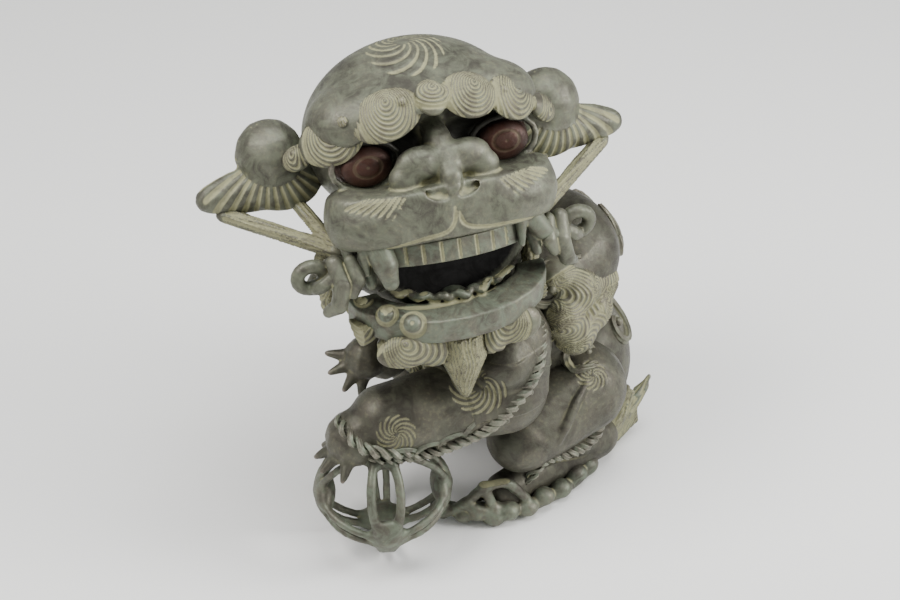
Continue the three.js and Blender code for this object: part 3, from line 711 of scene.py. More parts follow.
@dataclass(frozen=True)
class Patina:
    """One finish of the weathered casting."""

    SHARES: ClassVar[tuple[str, ...]] = ("Cloud Scale", "Grain Scale", "Verdigris", "Dust", "Wear And Highlight")
    COLOURS: ClassVar[tuple[str, ...]] = ("Dark", "Mid", "Green", "Dust Tint", "Worn Highlight Tint")

    name: str
    slot: Slot
    dark: tuple[float, float, float]
    mid: tuple[float, float, float]
    green: tuple[float, float, float]
    dust_tint: tuple[float, float, float] = (0.31, 0.30, 0.17)
    # The tint of rubbed crests stands partly for wear and partly for a painted highlight.
    worn_highlight_tint: tuple[float, float, float] = (0.36, 0.32, 0.26)
    verdigris: float = 0.5
    dust: float = 0.85
    wear_and_highlight: float = 0.6
    clouds: float = 42.0
    grain: float = 1100.0
    bump: float = 0.25

    def material(self, group: bpy.types.NodeTree) -> bpy.types.Material:
        """Builds the finish.

        Args:
            group: the shared weathered bronze group.

        Returns:
            The material.
        """
        made = bpy.data.materials.new(self.name)
        made.use_nodes = True
        tree = made.node_tree
        tree.nodes.clear()
        coat = node(tree, "ShaderNodeGroup", node_tree=group)
        shares = (self.clouds, self.grain, self.verdigris, self.dust, self.wear_and_highlight)
        for name, value in zip(self.SHARES, shares):
            coat.inputs[name].default_value = value
        for name, value in zip(self.COLOURS, (self.dark, self.mid, self.green, self.dust_tint, self.worn_highlight_tint)):
            coat.inputs[name].default_value = (*value, 1)
        bump = node(tree, "ShaderNodeBump", in_Strength=self.bump, in_Distance=0.0006)
        shader = node(tree, "ShaderNodeBsdfPrincipled")
        shader.inputs["Specular IOR Level"].default_value = 0.45
        out = node(tree, "ShaderNodeOutputMaterial")
        tree.links.new(coat.outputs["Height"], bump.inputs["Height"])
        for name, socket in (("Colour", "Base Color"), ("Roughness", "Roughness"), ("Metallic", "Metallic")):
            tree.links.new(coat.outputs[name], shader.inputs[socket])
        tree.links.new(bump.outputs["Normal"], shader.inputs["Normal"])
        tree.links.new(shader.outputs[0], out.inputs["Surface"])
        return made


CAST = Patina("cast bronze", Slot.BRONZE, (0.066, 0.062, 0.05), (0.14, 0.138, 0.108), (0.15, 0.165, 0.112),
              verdigris=0.65)
LEGS = Patina("leg bronze", Slot.BRONZE, (0.043, 0.039, 0.031), (0.095, 0.087, 0.068), (0.095, 0.10, 0.068),
              dust=0.7, worn_highlight_tint=(0.33, 0.28, 0.24))
HAIR = Patina("hair bronze", Slot.HAIR, (0.07, 0.063, 0.05), (0.15, 0.14, 0.105), (0.15, 0.165, 0.11),
              verdigris=0.6, wear_and_highlight=0.8)
GREEN = Patina("green bronze", Slot.GREEN, (0.068, 0.062, 0.05), (0.14, 0.135, 0.105), (0.14, 0.17, 0.12),
               verdigris=0.75)
# The eyes' lighter copper crests are partly a painted highlight.
COPPER = Patina("copper eyes", Slot.COPPER, (0.03, 0.014, 0.011), (0.07, 0.028, 0.02), (0.06, 0.045, 0.036),
                verdigris=0.3, dust=0.12, worn_highlight_tint=(0.3, 0.15, 0.11))
IRON = Patina("iron fittings", Slot.IRON, (0.045, 0.04, 0.038), (0.10, 0.07, 0.055), (0.13, 0.07, 0.045),
              verdigris=0.6, dust=0.4)
FINISHES = (CAST, LEGS, HAIR, GREEN, COPPER, IRON)


class Workshop:
    """Holds the finishes and the geometry trees, and turns clay and ropes into dressed pieces."""

    def __init__(self) -> None:
        """Builds the materials and the trees once."""
        group = patina_group()
        self.finishes = {f.name: f.material(group) for f in FINISHES}
        self.rope_tree = fluted_rope_tree()
        self.bead_tree = bead_tree()

    def cast(self, clay: Clay, name: str, body: Body, finish: Patina, tools: Sequence[Tool] = (),
             replaces: Sequence[str] | None = None, roughness: float = 0.05, limit: int = 190_000,
             painted_shade: Callable[[Array], Array] | None = None) -> bpy.types.Object:
        """Turns clay into a dressed piece.

        Args:
            clay: the modelled form.
            name: the piece's name.
            body: the body it moves with.
            finish: its finish.
            tools: engraving tools to use on the skin.
            replaces: CAD nodes that it stands for; its own name's node when not given.
            roughness: height in mm of the cast skin's unevenness.
            limit: most triangles.
            painted_shade: gives how much painted shade, near black, each point gets, from nothing to one.

        Returns:
            The finished object.
        """
        points, quads = clay.skin()
        normals = skin_normals(points, quads)
        depth = np.zeros(len(points))
        for tool in tools:
            depth = np.maximum(depth, tool.cut(points, normals))
        uneven = roughness * (pitted(points, 9.0, 3) + 0.5 * pitted(points, 3.5, 4))
        points = points - normals * (depth - uneven)[:, None]
        points[:, 2] = np.maximum(points[:, 2], 0)
        obj = mesh_object(name, points, quads)
        if len(quads) * 2 > limit:
            thin(obj, limit / (len(quads) * 2))
        points, faces, normals = read_back(obj)
        depth = np.zeros(len(points))
        for tool in tools:
            depth = np.maximum(depth, tool.cut(points, normals) / max(tool.depth, 0.2))
        mark_dust_wear_highlight(obj, points, faces, normals, depth, clay.hollows(points))
        # Painted shade: the near-black share of each point is kept as an attribute for the finish.
        if painted_shade:
            black = obj.data.attributes.new("painted_shade", "FLOAT", "POINT")
            black.data.foreach_set("value", painted_shade(points).astype(np.float32))
        self.dress(obj, body, finish)
        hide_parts(*([name] if replaces is None else replaces))
        return obj

    def dress(self, obj: bpy.types.Object, body: Body, finish: Patina) -> bpy.types.Object:
        """Gives the piece its finish and its body."""
        obj.data.materials.clear()
        obj.data.materials.append(self.finishes[finish.name])
        obj.data.shade_smooth()
        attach(obj, body.value)
        LOG.info("%s: %d faces, rides on %s", obj.name, len(obj.data.polygons), body.value)
        return obj

    def hair(self, name: str, body: Body, finish: Patina, strands: Sequence["Strand"], flutes: int = 6,
             depth: float = 0.28) -> bpy.types.Object:
        """Sweeps fluted ropes of hair with the geometry tree.

        Args:
            name: the piece's name.
            body: the body it moves with.
            finish: its finish.
            strands: the paths with their radii.
            flutes: ridges round each rope.
            depth: share of the radius that the ridges stand up.

        Returns:
            The finished object, one plain mesh.
        """
        ropes = strand_object(name, [(s.rows(), s.thick(), s.twist) for s in strands])
        values = {"Flutes": flutes, "Flute Depth": depth, "Finish": self.finishes[finish.name]}
        obj = run_tree(ropes, self.rope_tree, values)
        points, faces, normals = read_back(obj)
        mark_dust_wear_highlight(obj, points, faces, normals, np.zeros(len(points)), np.zeros(len(points)), 1.1)
        return self.dress(obj, body, finish)

    def beads(self, name: str, body: Body, finish: Patina,
              places: Sequence[tuple[Array, float]]) -> bpy.types.Object:
        """Sets round beads with the geometry tree.

        Args:
            name: the piece's name.
            body: the body it moves with.
            finish: its finish.
            places: centre and radius of each bead, in mm.

        Returns:
            The finished object, one plain mesh.
        """
        mesh = bpy.data.meshes.new(name)
        mesh.from_pydata([tuple(to_row(p)) for p, _ in places], [], [])
        sizes = mesh.attributes.new("thick", "FLOAT", "POINT")
        sizes.data.foreach_set("value", np.array([r / 1000 for _, r in places], np.float32))
        obj = bpy.data.objects.new(name, mesh)
        bpy.context.scene.collection.objects.link(obj)
        obj = run_tree(obj, self.bead_tree, {"Roundness": 3, "Finish": self.finishes[finish.name]})
        points, faces, normals = read_back(obj)
        mark_dust_wear_highlight(obj, points, faces, normals, np.zeros(len(points)), np.zeros(len(points)))
        return self.dress(obj, body, finish)


def mesh_object(name: str, points: Array, quads: Array) -> bpy.types.Object:
    """A mesh object in the row frame from design points and quads."""
    mesh = bpy.data.meshes.new(name)
    sides = quads.shape[1]
    mesh.vertices.add(len(points))
    mesh.vertices.foreach_set("co", to_row(points).astype(np.float32).ravel())
    mesh.loops.add(quads.size)
    mesh.loops.foreach_set("vertex_index", quads.astype(np.int32).ravel())
    mesh.polygons.add(len(quads))
    mesh.polygons.foreach_set("loop_start", np.arange(0, quads.size, sides, dtype=np.int32))
    mesh.update(calc_edges=True)
    mesh.validate()
    obj = bpy.data.objects.new(name, mesh)
    bpy.context.scene.collection.objects.link(obj)
    return obj


def bake_modifiers(obj: bpy.types.Object) -> None:
    """Turns the evaluated object into its own plain mesh."""
    graph = bpy.context.evaluated_depsgraph_get()
    mesh = bpy.data.meshes.new_from_object(obj.evaluated_get(graph), depsgraph=graph)
    obj.modifiers.clear()
    obj.data = mesh


def thin(obj: bpy.types.Object, ratio: float) -> None:
    """Thins the mesh where it is flattest."""
    modifier = obj.modifiers.new("thin", "DECIMATE")
    modifier.ratio = ratio
    bake_modifiers(obj)


def read_back(obj: bpy.types.Object) -> tuple[Array, Array, Array]:
    """Design points, triangles and normals of a finished mesh."""
    mesh = obj.data
    co = np.empty(len(mesh.vertices) * 3, np.float32)
    mesh.vertices.foreach_get("co", co)
    mesh.calc_loop_triangles()
    tris = np.empty(len(mesh.loop_triangles) * 3, np.int32)
    mesh.loop_triangles.foreach_get("vertices", tris)
    points, faces = co.reshape(-1, 3).astype(float) * 1000 - SHIFT, tris.reshape(-1, 3)
    return points, faces, skin_normals(points, faces)


def mark_dust_wear_highlight(obj: bpy.types.Object, points: Array, faces: Array, normals: Array, grooves: Array, hollows: Array,
          curl: float = 1.0) -> None:
    """Writes the recess attribute for dust and the crest attribute for wear and painted highlight, which the
    finishes read.
    """
    pairs = np.vstack([faces[:, [0, 1]], faces[:, [1, 2]], faces[:, [2, 0]]])
    pairs = np.vstack([pairs, pairs[:, ::-1]])
    count = np.maximum(np.bincount(pairs[:, 0], minlength=len(points)), 1)
    own, other = pairs[:, 0], pairs[:, 1]
    mean = np.stack([np.bincount(own, points[other, k], len(points)) for k in range(3)], -1) / count[:, None]
    length = np.bincount(own, np.linalg.norm(points[own] - points[other], axis=1), len(points)) / count
    bend = np.einsum("ij,ij->i", mean - points, normals) / np.maximum(length, 1e-6)
    bend = 0.5 * bend + 0.5 * np.bincount(own, bend[other], len(points)) / count
    folded = curl * np.clip(bend * 3.0, 0, 1)
    recess = np.clip(0.95 * grooves + folded + 0.7 * np.clip(hollows * 1.6 - 0.1, 0, 1), 0, 1)
    # The crest mask drives wear and a painted highlight on proud places.
    proud = curl * np.clip(-bend * 3.0 - 0.15, 0, 1)
    crest = np.clip(proud + 0.5 * np.clip(-hollows * 1.4 - 0.35, 0, 1), 0, 1)
    crest *= 1 - recess
    for name, values in (("recess", recess), ("crest", crest)):
        obj.data.attributes.new(name, "FLOAT", "POINT").data.foreach_set("value", values.astype(np.float32))


# ------------------------------------------------------------------ geometry trees


def geometry_tree(name: str, inputs: Sequence[tuple[str, str, object]]) -> bpy.types.NodeTree:
    """An empty geometry tree with a geometry socket in and out and the named inputs."""
    tree = bpy.data.node_groups.new(name, "GeometryNodeTree")
    add_socket(tree, "Geometry", "Geometry", "INPUT")
    for label, kind, value in inputs:
        add_socket(tree, label, kind, "INPUT", value)
    add_socket(tree, "Geometry", "Geometry", "OUTPUT")
    return tree


def close_tree(tree: bpy.types.NodeTree, made: bpy.types.NodeSocket, given: bpy.types.NodeOutputs) -> None:
    """Ends the tree in Realize Instances and Set Material."""
    real = node(tree, "GeometryNodeRealizeInstances")
    dressed = node(tree, "GeometryNodeSetMaterial")
    out = node(tree, "NodeGroupOutput")
    tree.links.new(made, real.inputs[0])
    tree.links.new(real.outputs[0], dressed.inputs["Geometry"])
    tree.links.new(given["Finish"], dressed.inputs["Material"])
    tree.links.new(dressed.outputs[0], out.inputs[0])


def fluted_rope_tree() -> bpy.types.NodeTree:
    """Sweeps a star-shaped section along each line, sized and twisted by the line's own attributes."""
    tree = geometry_tree("fluted rope", [("Flutes", "Int", 6), ("Flute Depth", "Float", 0.28),
                                         ("Finish", "Material", None)])
    link = tree.links.new
    given = node(tree, "NodeGroupInput").outputs
    curve = node(tree, "GeometryNodeMeshToCurve")
    link(given["Geometry"], curve.inputs["Mesh"])
    thick = node(tree, "GeometryNodeInputNamedAttribute", data_type="FLOAT", in_Name="thick")
    turn = node(tree, "GeometryNodeInputNamedAttribute", data_type="FLOAT", in_Name="turn")
    tilt = node(tree, "GeometryNodeSetCurveTilt")
    link(curve.outputs[0], tilt.inputs["Curve"])
    link(turn.outputs[0], tilt.inputs["Tilt"])
    star = node(tree, "GeometryNodeCurveStar")
    inner = node(tree, "ShaderNodeMath", operation="SUBTRACT", in_0=1.0)
    link(given["Flute Depth"], inner.inputs[1])
    link(given["Flutes"], star.inputs["Points"])
    link(inner.outputs[0], star.inputs["Inner Radius"])
    star.inputs["Outer Radius"].default_value = 1.0
    star.inputs["Twist"].default_value = 0.0
    spline = node(tree, "GeometryNodeCurveSplineType", spline_type="CATMULL_ROM")
    link(star.outputs["Curve"], spline.inputs["Curve"])
    fine = node(tree, "GeometryNodeResampleCurve")
    twice = node(tree, "ShaderNodeMath", operation="MULTIPLY", in_1=4.0)
    link(given["Flutes"], twice.inputs[0])
    link(spline.outputs[0], fine.inputs["Curve"])
    link(twice.outputs[0], fine.inputs["Count"])
    sweep = node(tree, "GeometryNodeCurveToMesh")
    link(tilt.outputs[0], sweep.inputs["Curve"])
    link(fine.outputs[0], sweep.inputs["Profile Curve"])
    sweep.inputs["Fill Caps"].default_value = True
    link(thick.outputs[0], sweep.inputs["Scale"])
    close_tree(tree, sweep.outputs[0], given)
    return tree


def bead_tree() -> bpy.types.NodeTree:
    """Sets a round bead on each point, sized by the point's own attribute."""
    tree = geometry_tree("beads", [("Roundness", "Int", 3), ("Finish", "Material", None)])
    link = tree.links.new
    given = node(tree, "NodeGroupInput").outputs
    bead = node(tree, "GeometryNodeMeshIcoSphere", in_Radius=1.0)
    link(given["Roundness"], bead.inputs["Subdivisions"])
    thick = node(tree, "GeometryNodeInputNamedAttribute", data_type="FLOAT", in_Name="thick")
    spread = node(tree, "GeometryNodeInstanceOnPoints")
    link(given["Geometry"], spread.inputs["Points"])
    link(bead.outputs["Mesh"], spread.inputs["Instance"])
    link(thick.outputs[0], spread.inputs["Scale"])
    close_tree(tree, spread.outputs[0], given)
    return tree


def run_tree(obj: bpy.types.Object, tree: bpy.types.NodeTree, values: dict[str, object]) -> bpy.types.Object:
    """Runs a geometry tree on the object and keeps the plain mesh.

    Args:
        obj: the object with the points or lines.
        tree: the tree.
        values: the tree's inputs by name.

    Returns:
        The same object.
    """
    modifier = obj.modifiers.new(tree.name, "NODES")
    modifier.node_group = tree
    for item in tree.interface.items_tree:
        if item.in_out == "INPUT" and item.name in values:
            modifier[item.identifier] = values[item.name]
    bake_modifiers(obj)
    return obj


@dataclass
class Strand:
    """A rope of hair through points, thickest at its middle unless told otherwise."""

    points: Sequence
    radius: float
    root: float = 0.5
    tip: float = 0.25
    twist: float = 0.0
    per: int = 6

    def rows(self) -> Array:
        """The smooth line."""
        return smooth_line(self.points, self.per) if self.per > 1 else np.asarray(self.points, float)

    def thick(self) -> Array:
        """The radius at each row."""
        s = np.linspace(0, 1, len(self.rows()))
        rise = self.root + (1 - self.root) * np.clip(s / 0.25, 0, 1) ** 0.7
        fall = self.tip + (1 - self.tip) * np.clip((1 - s) / 0.55, 0, 1) ** 0.7
        return self.radius * np.minimum(rise, fall)


def strand_object(name: str, lines: Sequence[tuple[Array, Array, float]]) -> bpy.types.Object:
    """The lines as one mesh of edges, each point with its radius and turn."""
    verts, edges, thick, turn = [], [], [], []
    for rows, radii, twist in lines:
        first = len(verts)
        verts += [tuple(p) for p in to_row(rows)]
        edges += [(first + i, first + i + 1) for i in range(len(rows) - 1)]
        thick += list(np.asarray(radii) / 1000)
        turn += list(np.linspace(0, twist, len(rows)))
    mesh = bpy.data.meshes.new(name)
    mesh.from_pydata(verts, edges, [])
    for label, values in (("thick", thick), ("turn", turn)):
        mesh.attributes.new(label, "FLOAT", "POINT").data.foreach_set("value", np.array(values, np.float32))
    obj = bpy.data.objects.new(name, mesh)
    bpy.context.scene.collection.objects.link(obj)
    return obj


def curl(clay: Clay, root: Sequence[float], bead: Sequence[float], radius: float, hand: int = 1,
         turns: float = 1.3, lift: float = 0.8) -> tuple[Strand, tuple[Array, float]]:
    """A lock that runs from its root and winds up round a bead, lying on the clay.

    Args:
        clay: the form that it lies on.
        root: where it starts, in mm.
        bead: where it ends.
        radius: radius of the rope.
        hand: 1 or -1, the way that it winds.
        turns: turns round the bead.
        lift: height of its middle over the skin.

    Returns:
        The strand and its bead.
    """
    ends = clay.cling(np.array([root, bead], float), lift)
    normal = clay.slope(ends[1:2])[0]
    start = ends[0] - ends[1]
    far = np.linalg.norm(start)
    axes = frame_about(normal, start)
    s = np.linspace(0, 1, 34)
    r = far * (1 - s) ** 2.1 + radius * (0.75 + 0.9 * (1 - s))
    r[0] = far
    angle = hand * 2 * math.pi * turns * s**1.15
    flat = np.stack([np.cos(angle) * r, np.sin(angle) * r], -1)
    rows = ends[1] + flat @ axes[:2]
    rows = clay.cling(rows, lift)
    strand = Strand(rows, radius, 0.4, 0.55, twist=hand * 2.5, per=1)
    return strand, (ends[1] + normal * radius * 0.35, radius * 0.95)


def plait(line: Sequence, radius: float, strands: int = 3, wide: float = 1.0,
          pitch: float = 15.0) -> list[Strand]:
    """Strands wound round one another along a line."""
    rows = smooth_line(line, 10)
    step = np.linalg.norm(np.diff(rows, axis=0), axis=1)
    run = np.concatenate([[0], np.cumsum(step)])
    heading = np.gradient(rows, axis=0)
    made = []
    for k in range(strands):
        angle = 2 * math.pi * (run / pitch + k / strands)
        side = np.array([unit(np.cross(h, (0.3, 0.2, 1.0))) for h in heading])
        up = np.cross(heading / np.linalg.norm(heading, axis=1, keepdims=True), side)
        swing = radius * wide * np.minimum(1, np.minimum(run, run[-1] - run) / 8 + 0.2)
        rows_k = rows + side * (np.cos(angle) * swing)[:, None] + up * (np.sin(angle) * swing * 0.6)[:, None]
        made.append(Strand(rows_k, radius, 0.5, 0.4, twist=4, per=1))
    return made


# ------------------------------------------------------------------ the head


@dataclass
class BrowLobe:
    """One scalloped lobe of the brow, its places as head left, forward and up."""

    left_tip: Sequence[float]
    right_tip: Sequence[float]
    knob: Sequence[float]
    facing: Sequence[float]
    half_width: float = 9.0
    knob_radius: float = 2.8
    rings: float = 6.0
    rise: float = 0.5
    aside: float = 0.15

    def axes(self) -> Array:
        """Rows along the lobe, across it and out of it."""
        return frame_about(along_head(self.facing), (on_head(self.right_tip) - on_head(self.left_tip)))

    def middle(self) -> Array:
        """Centre of the lobe, a little over the line of its tips."""
        axes = self.axes()
        up = axes[1] if axes[1][2] > 0 else -axes[1]
        return (on_head(self.left_tip) + on_head(self.right_tip)) / 2 + up * self.half_width * 0.5

    def half_length(self) -> float:
        """Half the length from tip to tip."""
        return float(np.linalg.norm(on_head(self.right_tip) - on_head(self.left_tip))) / 2 + 0.5

    def shape(self) -> Blob:
        """The lobe's own clay."""
        return Blob(self.middle(), (self.half_length(), self.half_width, 5.2), self.axes())

    def tool(self) -> Whirl:
        """Arcs that open away from the lobe's upper right corner, one inside the other."""
        axes = self.axes()
        up = axes[1] if axes[1][2] > 0 else -axes[1]
        reach = self.half_length()
        start = self.middle() + up * self.half_width * self.rise + axes[0] * reach * self.aside
        away = axes[0] * -self.aside - up * 0.9
        narrow = self.half_width / reach * 1.15
        return Whirl(start, axes[2], reach, self.rings, 0, away, narrow, 0.42, depth=0.7, reach=1.3)


BROW = (
    BrowLobe((-76, -22, 0), (-64, -7, 8), (-69, -7, 11), (-0.85, 0.5, 0.2), 7, 2.2, 5),
    BrowLobe((-67, -8, 5), (-41, 14, 16), (-49.5, 11.5, 28), (-0.5, 0.78, 0.38), 14, 3.0, 10),
    BrowLobe((-43, 13, 15), (-8.5, 24, 28), (-19.5, 20.5, 36.5), (-0.27, 0.86, 0.46), 14, 3.6, 11),
    BrowLobe((-11, 23, 29), (5, 24, 30), (-2, 20, 37), (0.0, 0.87, 0.5), 10, 0.0, 6),
    BrowLobe((2, 24, 29), (32, 20, 22), (10, 22, 32.5), (0.2, 0.86, 0.46), 13, 1.4, 10),
    BrowLobe((29, 20, 22), (58, 6, 14), (38.5, 15.5, 30), (0.52, 0.78, 0.38), 13, 2.8, 9),
    BrowLobe((56, 7, 14), (74, -14, 2), (64, -1, 16), (0.8, 0.55, 0.2), 8, 2.0, 5),
)


@dataclass
class Head:
    """The lid: dome, brow, face, ears, jaw, teeth, beard and side locks."""

    dome_step: float = 0.9
    fine_step: float = 0.55
    skull: Sequence = (((0, -32, 8), (62.3, 50.3, 50.3)), ((0, -30, -50), (56.2, 50.2, 40.2)), 
                       ((0, -8, 22), (42, 33, 22)), ((34, -12, 22), (30, 28, 21)),
                       ((-34, -12, 22), (30, 28, 21)))
    eye_at: Sequence[float] = (38.5, 4.0, 0.5)
    ear_at: Sequence[float] = (80.0, -40.0, 7.0)
    ear_reach: float = 44.0

    def make(self, shop: Workshop) -> None:
        """Builds every piece of the head."""
        self.guide = Clay.over(["head_shell", "brow_fringe"], 2.0, 14)
        self.shell(shop)
        self.brow(shop)
        for side, name in ((-1, "right"), (1, "left")):
            self.eye(shop, side, name)
            self.ear(shop, side, name)
        self.mouth(shop)
        self.beard(shop)
        self.nape_hair(shop)

    def face_cut(self, p: Array) -> Array:
        """Distance into the hollow of the face under the arched brow."""
        q = (p - HEAD_AT) @ HEAD_AXES.T
        x, f, h = q[..., 0], q[..., 1], q[..., 2]
        arch = 27 - 23 * np.clip(np.abs(x) / 61, 0, 1.2) ** 1.7
        return np.minimum(f - 0.5 - 0.55 * np.clip(h - 12, 0, None), arch - h)

    def inside(self, points: Array) -> Array:
        """How much painted shade each point gets: deep in the hollow of the head and mouth, and in the
        sockets under the brow.
        """
        depth = np.minimum.reduce([Blob(on_head(at), np.array(radii) - 2.2, HEAD_AXES).distance(points)
                                   for at, radii in self.skull])
        face = (points - HEAD_AT) @ HEAD_AXES.T
        black = np.clip(-depth, 0, 1) * np.clip((-1.5 - face[:, 1]) + 3.0 * (face[:, 2] < -44) * 8, 0, 1)
        # Painted shade in the sockets under the brow, where the brow's shadow falls.
        for side in (-1, 1):
            hollow = Blob(on_head((side * 33, 2, 9)), (29, 9, 13), HEAD_AXES).distance(points)
            black = np.maximum(black, 0.85 * np.clip(-hollow / 4, 0, 1))
        return black

    def nose(self, clay: Clay) -> None:
        """Models the bridge, the two round wings and the pointed tip."""
        bridge = on_head([(0, 1, 18), (0, 10, 11), (1, 17, 1), (1.5, 25, -8), (2, 28, -14)])
        clay.add(Rope(bridge, (5.5, 7.0, 7.5, 5.5, 2.0)), 4)
        for side in (-1, 1):
            clay.add(Blob(on_head((side * 13, 18, 0)), (13, 8, 9), HEAD_AXES), 3)
            clay.add(Blob(on_head((side * 22, 17, -7)), (8.5, 7, 7.5), HEAD_AXES), 3)
            crease = [(side * 5, 24, 8), (side * 8.5, 28, -1), (side * 10, 29, -9), (side * 8, 30, -15)]
            clay.carve(Rope(on_head(crease), (0.5, 1.5, 2.6, 3.4)), 2)
            nostril = [(side * 5, 31, -17), (side * 13, 28, -15), (side * 23, 22, -17)]
            clay.carve(Rope(on_head(nostril), (2.4, 2.0, 1.6)), 1.5)

    def whiskers(self) -> list[Scratch]:
        """The fans of fine strokes over the upper lip."""
        made = []
        for share in np.linspace(0, 1, 8):
            for side in (-1, 1):
                root = np.array([side * (40 - 14 * share), 24 + 7 * share, -9 - 3 * share])
                end = np.array([side * (59 - 24 * share), 20 + 12 * share, -17 - 7 * share])
                made.append(Scratch([*on_head([root, (root + end) / 2 + (0, 1.5, 0), end])], 0.55, 0.7))
        return made

    def shell(self, shop: Workshop) -> None:
        """The dome, the nose and the muzzle."""
        clay = Clay.over(["head_shell"], self.dome_step, 9)
        eggs = [Blob(on_head(at), radii, HEAD_AXES) for at, radii in self.skull]
        grid = clay.everywhere()
        high = ((grid - HEAD_AT) @ HEAD_AXES.T)[..., 2]
        cut = np.maximum(clay.cells, self.face_cut(grid))
        clay.cells = np.where(high > 13.0, cut, clay.cells).astype(np.float32)
        clay.add(Hull(eggs, 4.4, (self.face_cut,), (lambda p: 150.3 - p[..., 2],), 5), 0)
        clay.soften(3)
        corners = on_head([(x, f, h) for x in (-66, 66) for f in (-2, 36) for h in (-46, -4)])
        clay.soften_in(corners.min(0), corners.max(0), 9)
        for side in (-1, 1):
            clay.add(Blob(on_head((side * 31, 12, -27)), (29, 18, 12.5), HEAD_AXES), 7)
            clay.add(Blob(on_head((side * 50, 4, -26)), (14, 16, 15), HEAD_AXES), 6)
            ring = [(side * self.eye_at[0] + 19 * math.cos(a), 3.5 + 1.5 * math.sin(a),
                     0.5 + 13 * math.sin(a)) for a in np.linspace(0, 2 * math.pi, 17)]
            clay.add(Rope(on_head(ring), 1.7), 2.5)
        self.nose(clay)
        clay.carve(Rope(on_head([(0.5, 34, -19), (0.5, 35, -40)]), (1.5, 2.5)), 4)
        lip = [[(-61, 2, -38), (-48, 20, -38.6), (-24, 29.5, -38.4), (-7, 31, -36.5), (-1.5, 31, -31),
                (-0.5, 30, -24)],
               [(1.5, 30, -27), (4, 31, -34), (14, 31, -37.5), (38, 25, -38), (61, 3, -38)]]
        tools: list[Tool] = [Scratch(self.guide.cling(on_head(p)), 0.9, 1.0) for p in lip]
        tools += self.whiskers()
        top = on_head((-3, -25, 57.5))
        tools.append(Whirl(top, along_head((0, 0.16, 1)), 24, 4.2, 13, along_head((0, 1, 0)), 0.85, 0.3, 0.2,
                           0.6, sharp=4))
        self.dome = clay
        # The hollow of the head and mouth and the eye sockets get painted shade.
        shop.cast(clay, "head_shell", Body.HEAD, CAST, tools, limit=196_000, painted_shade=self.inside)

    def brow(self, shop: Workshop) -> None:
        """The scalloped brow with its knobs."""
        clay = Clay.over(["brow_fringe"], self.fine_step, 14).empty()
        for lobe in BROW:
            clay.add(lobe.shape(), 1.5)
        for lobe in BROW:
            if lobe.knob_radius:
                place = self.dome.cling(on_head([lobe.knob]), 0.8)[0]
                clay.add(Blob(place, (lobe.knob_radius,) * 3), 0.6)
        shop.cast(clay, "brow_fringe", Body.HEAD, HAIR, [Scales([lobe.tool() for lobe in BROW], 0.8)])

    def eye(self, shop: Workshop, side: int, name: str) -> None:
        """One oval eye with rings round its pupil."""
        x, f, h = self.eye_at
        clay = Clay.over([f"{name}_eye"], 0.5, 6).soften(3)
        facing = along_head((side * 0.15, 1, 0.1))
        clay.add(Blob(on_head((side * x, f + 0.5, h - 0.5)), (14, 5.5, 10.5), HEAD_AXES), 3)
        tools = [Whirl(on_head((side * x, f + 4, h)), facing, 11, 1.5, 0, along_head((1, 0, 0)), 0.75,
                       depth=0.3, reach=1.5, sharp=6)]
        shop.cast(clay, f"{name}_eye", Body.HEAD, COPPER, tools)

    def ear(self, shop: Workshop, side: int, name: str) -> None:
        """A round bulb with a ribbed flap, its outer and inner straps."""
        x, f, h = self.ear_at
        centre = on_head((side * x, f, h))
        clay = Clay.over([f"{name}_ear"], 0.65, 6).soften(3)
        clay.add(Blob(centre, (17.6, 17.6, 17.6)), 5)
        flap = on_head([(side * 60, -34, -9), (side * 78, -38, -17), (side * 96, -40, -16),
                        (side * 112, -40, -11)])
        clay.add(Rope(flap, (4.5, 5.5, 5.0, 4.0)), 6)
        clay.add(Blob(on_head((side * 96, -38, -10)), (25, 6.5, 11.5), HEAD_AXES), 4)
        clay.add(Blob(on_head((side * 76, -32, -9)), (20, 8, 14), HEAD_AXES), 4)
        tools: list[Tool] = []
        for way in (1, -1):
            facing = along_head((side * 0.1, way, 0.25))
            tools.append(Whirl(centre, facing, self.ear_reach, 0.9 * side * way, 34,
                               along_head((side, 0, -0.3)), 1.0, 0.0, 0.42, 0.7, 2.2, 1.2))
        shop.cast(clay, f"{name}_ear", Body.HEAD, CAST, tools)
        corner = (side * 58, -6, -40)
        outer = on_head([(side * 111, -38, -20), (side * 84, -24, -31), corner])
        inner = on_head([(side * 74, -36, -14), (side * 67, -22, -27), corner])
        strap = Clay.over([f"{name}_ear_lock"], 0.6, 6).soften(2)
        shop.cast(strap, f"{name}_ear_lock", Body.HEAD, HAIR,
                  [Comb(outer, 9, 2.2, 0.7), Comb(inner, 8, 2.0, 0.6)])
        knot = Clay.over([f"{name}_mouth_curl"], 0.55, 16).soften(2)
        loop = [(side * (76 + 7.5 * math.cos(a)), 1 + 2 * math.sin(a), -54 + 6.5 * math.sin(a))
                for a in np.linspace(0, 6.3, 19)]
        knot.add(Rope(on_head(loop), 3.8), 1.5)
        outer_fold = [(side * 64, 8, -47), (side * 62, 13, -58), (side * 65, 10, -70), (side * 70, 4, -74)]
        knot.add(Rope(on_head(outer_fold), (4.6, 5.0, 4.6, 3.2)), 1.0)
        inner_fold = [(side * 56, 12, -46), (side * 54, 16, -56), (side * 57, 13, -64)]
        knot.add(Rope(on_head(inner_fold), (3.6, 4.2, 3.0)), 1.0)
        shop.cast(knot, f"{name}_mouth_curl", Body.HEAD, CAST)
        side_lock = Clay.over([f"{name}_side_lock"], 0.6, 6).soften(3)
        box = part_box(f"{name}_side_lock")
        low, high = (np.array(v) * 1000 - SHIFT for v in box)
        mid = (low + high) / 2
        lines = [Comb([(mid[0], mid[1], high[2]), mid, (mid[0], mid[1], low[2])], 26, 2.1, 0.6, 1.6)]
        shop.cast(side_lock, f"{name}_side_lock", Body.HEAD, HAIR, lines)

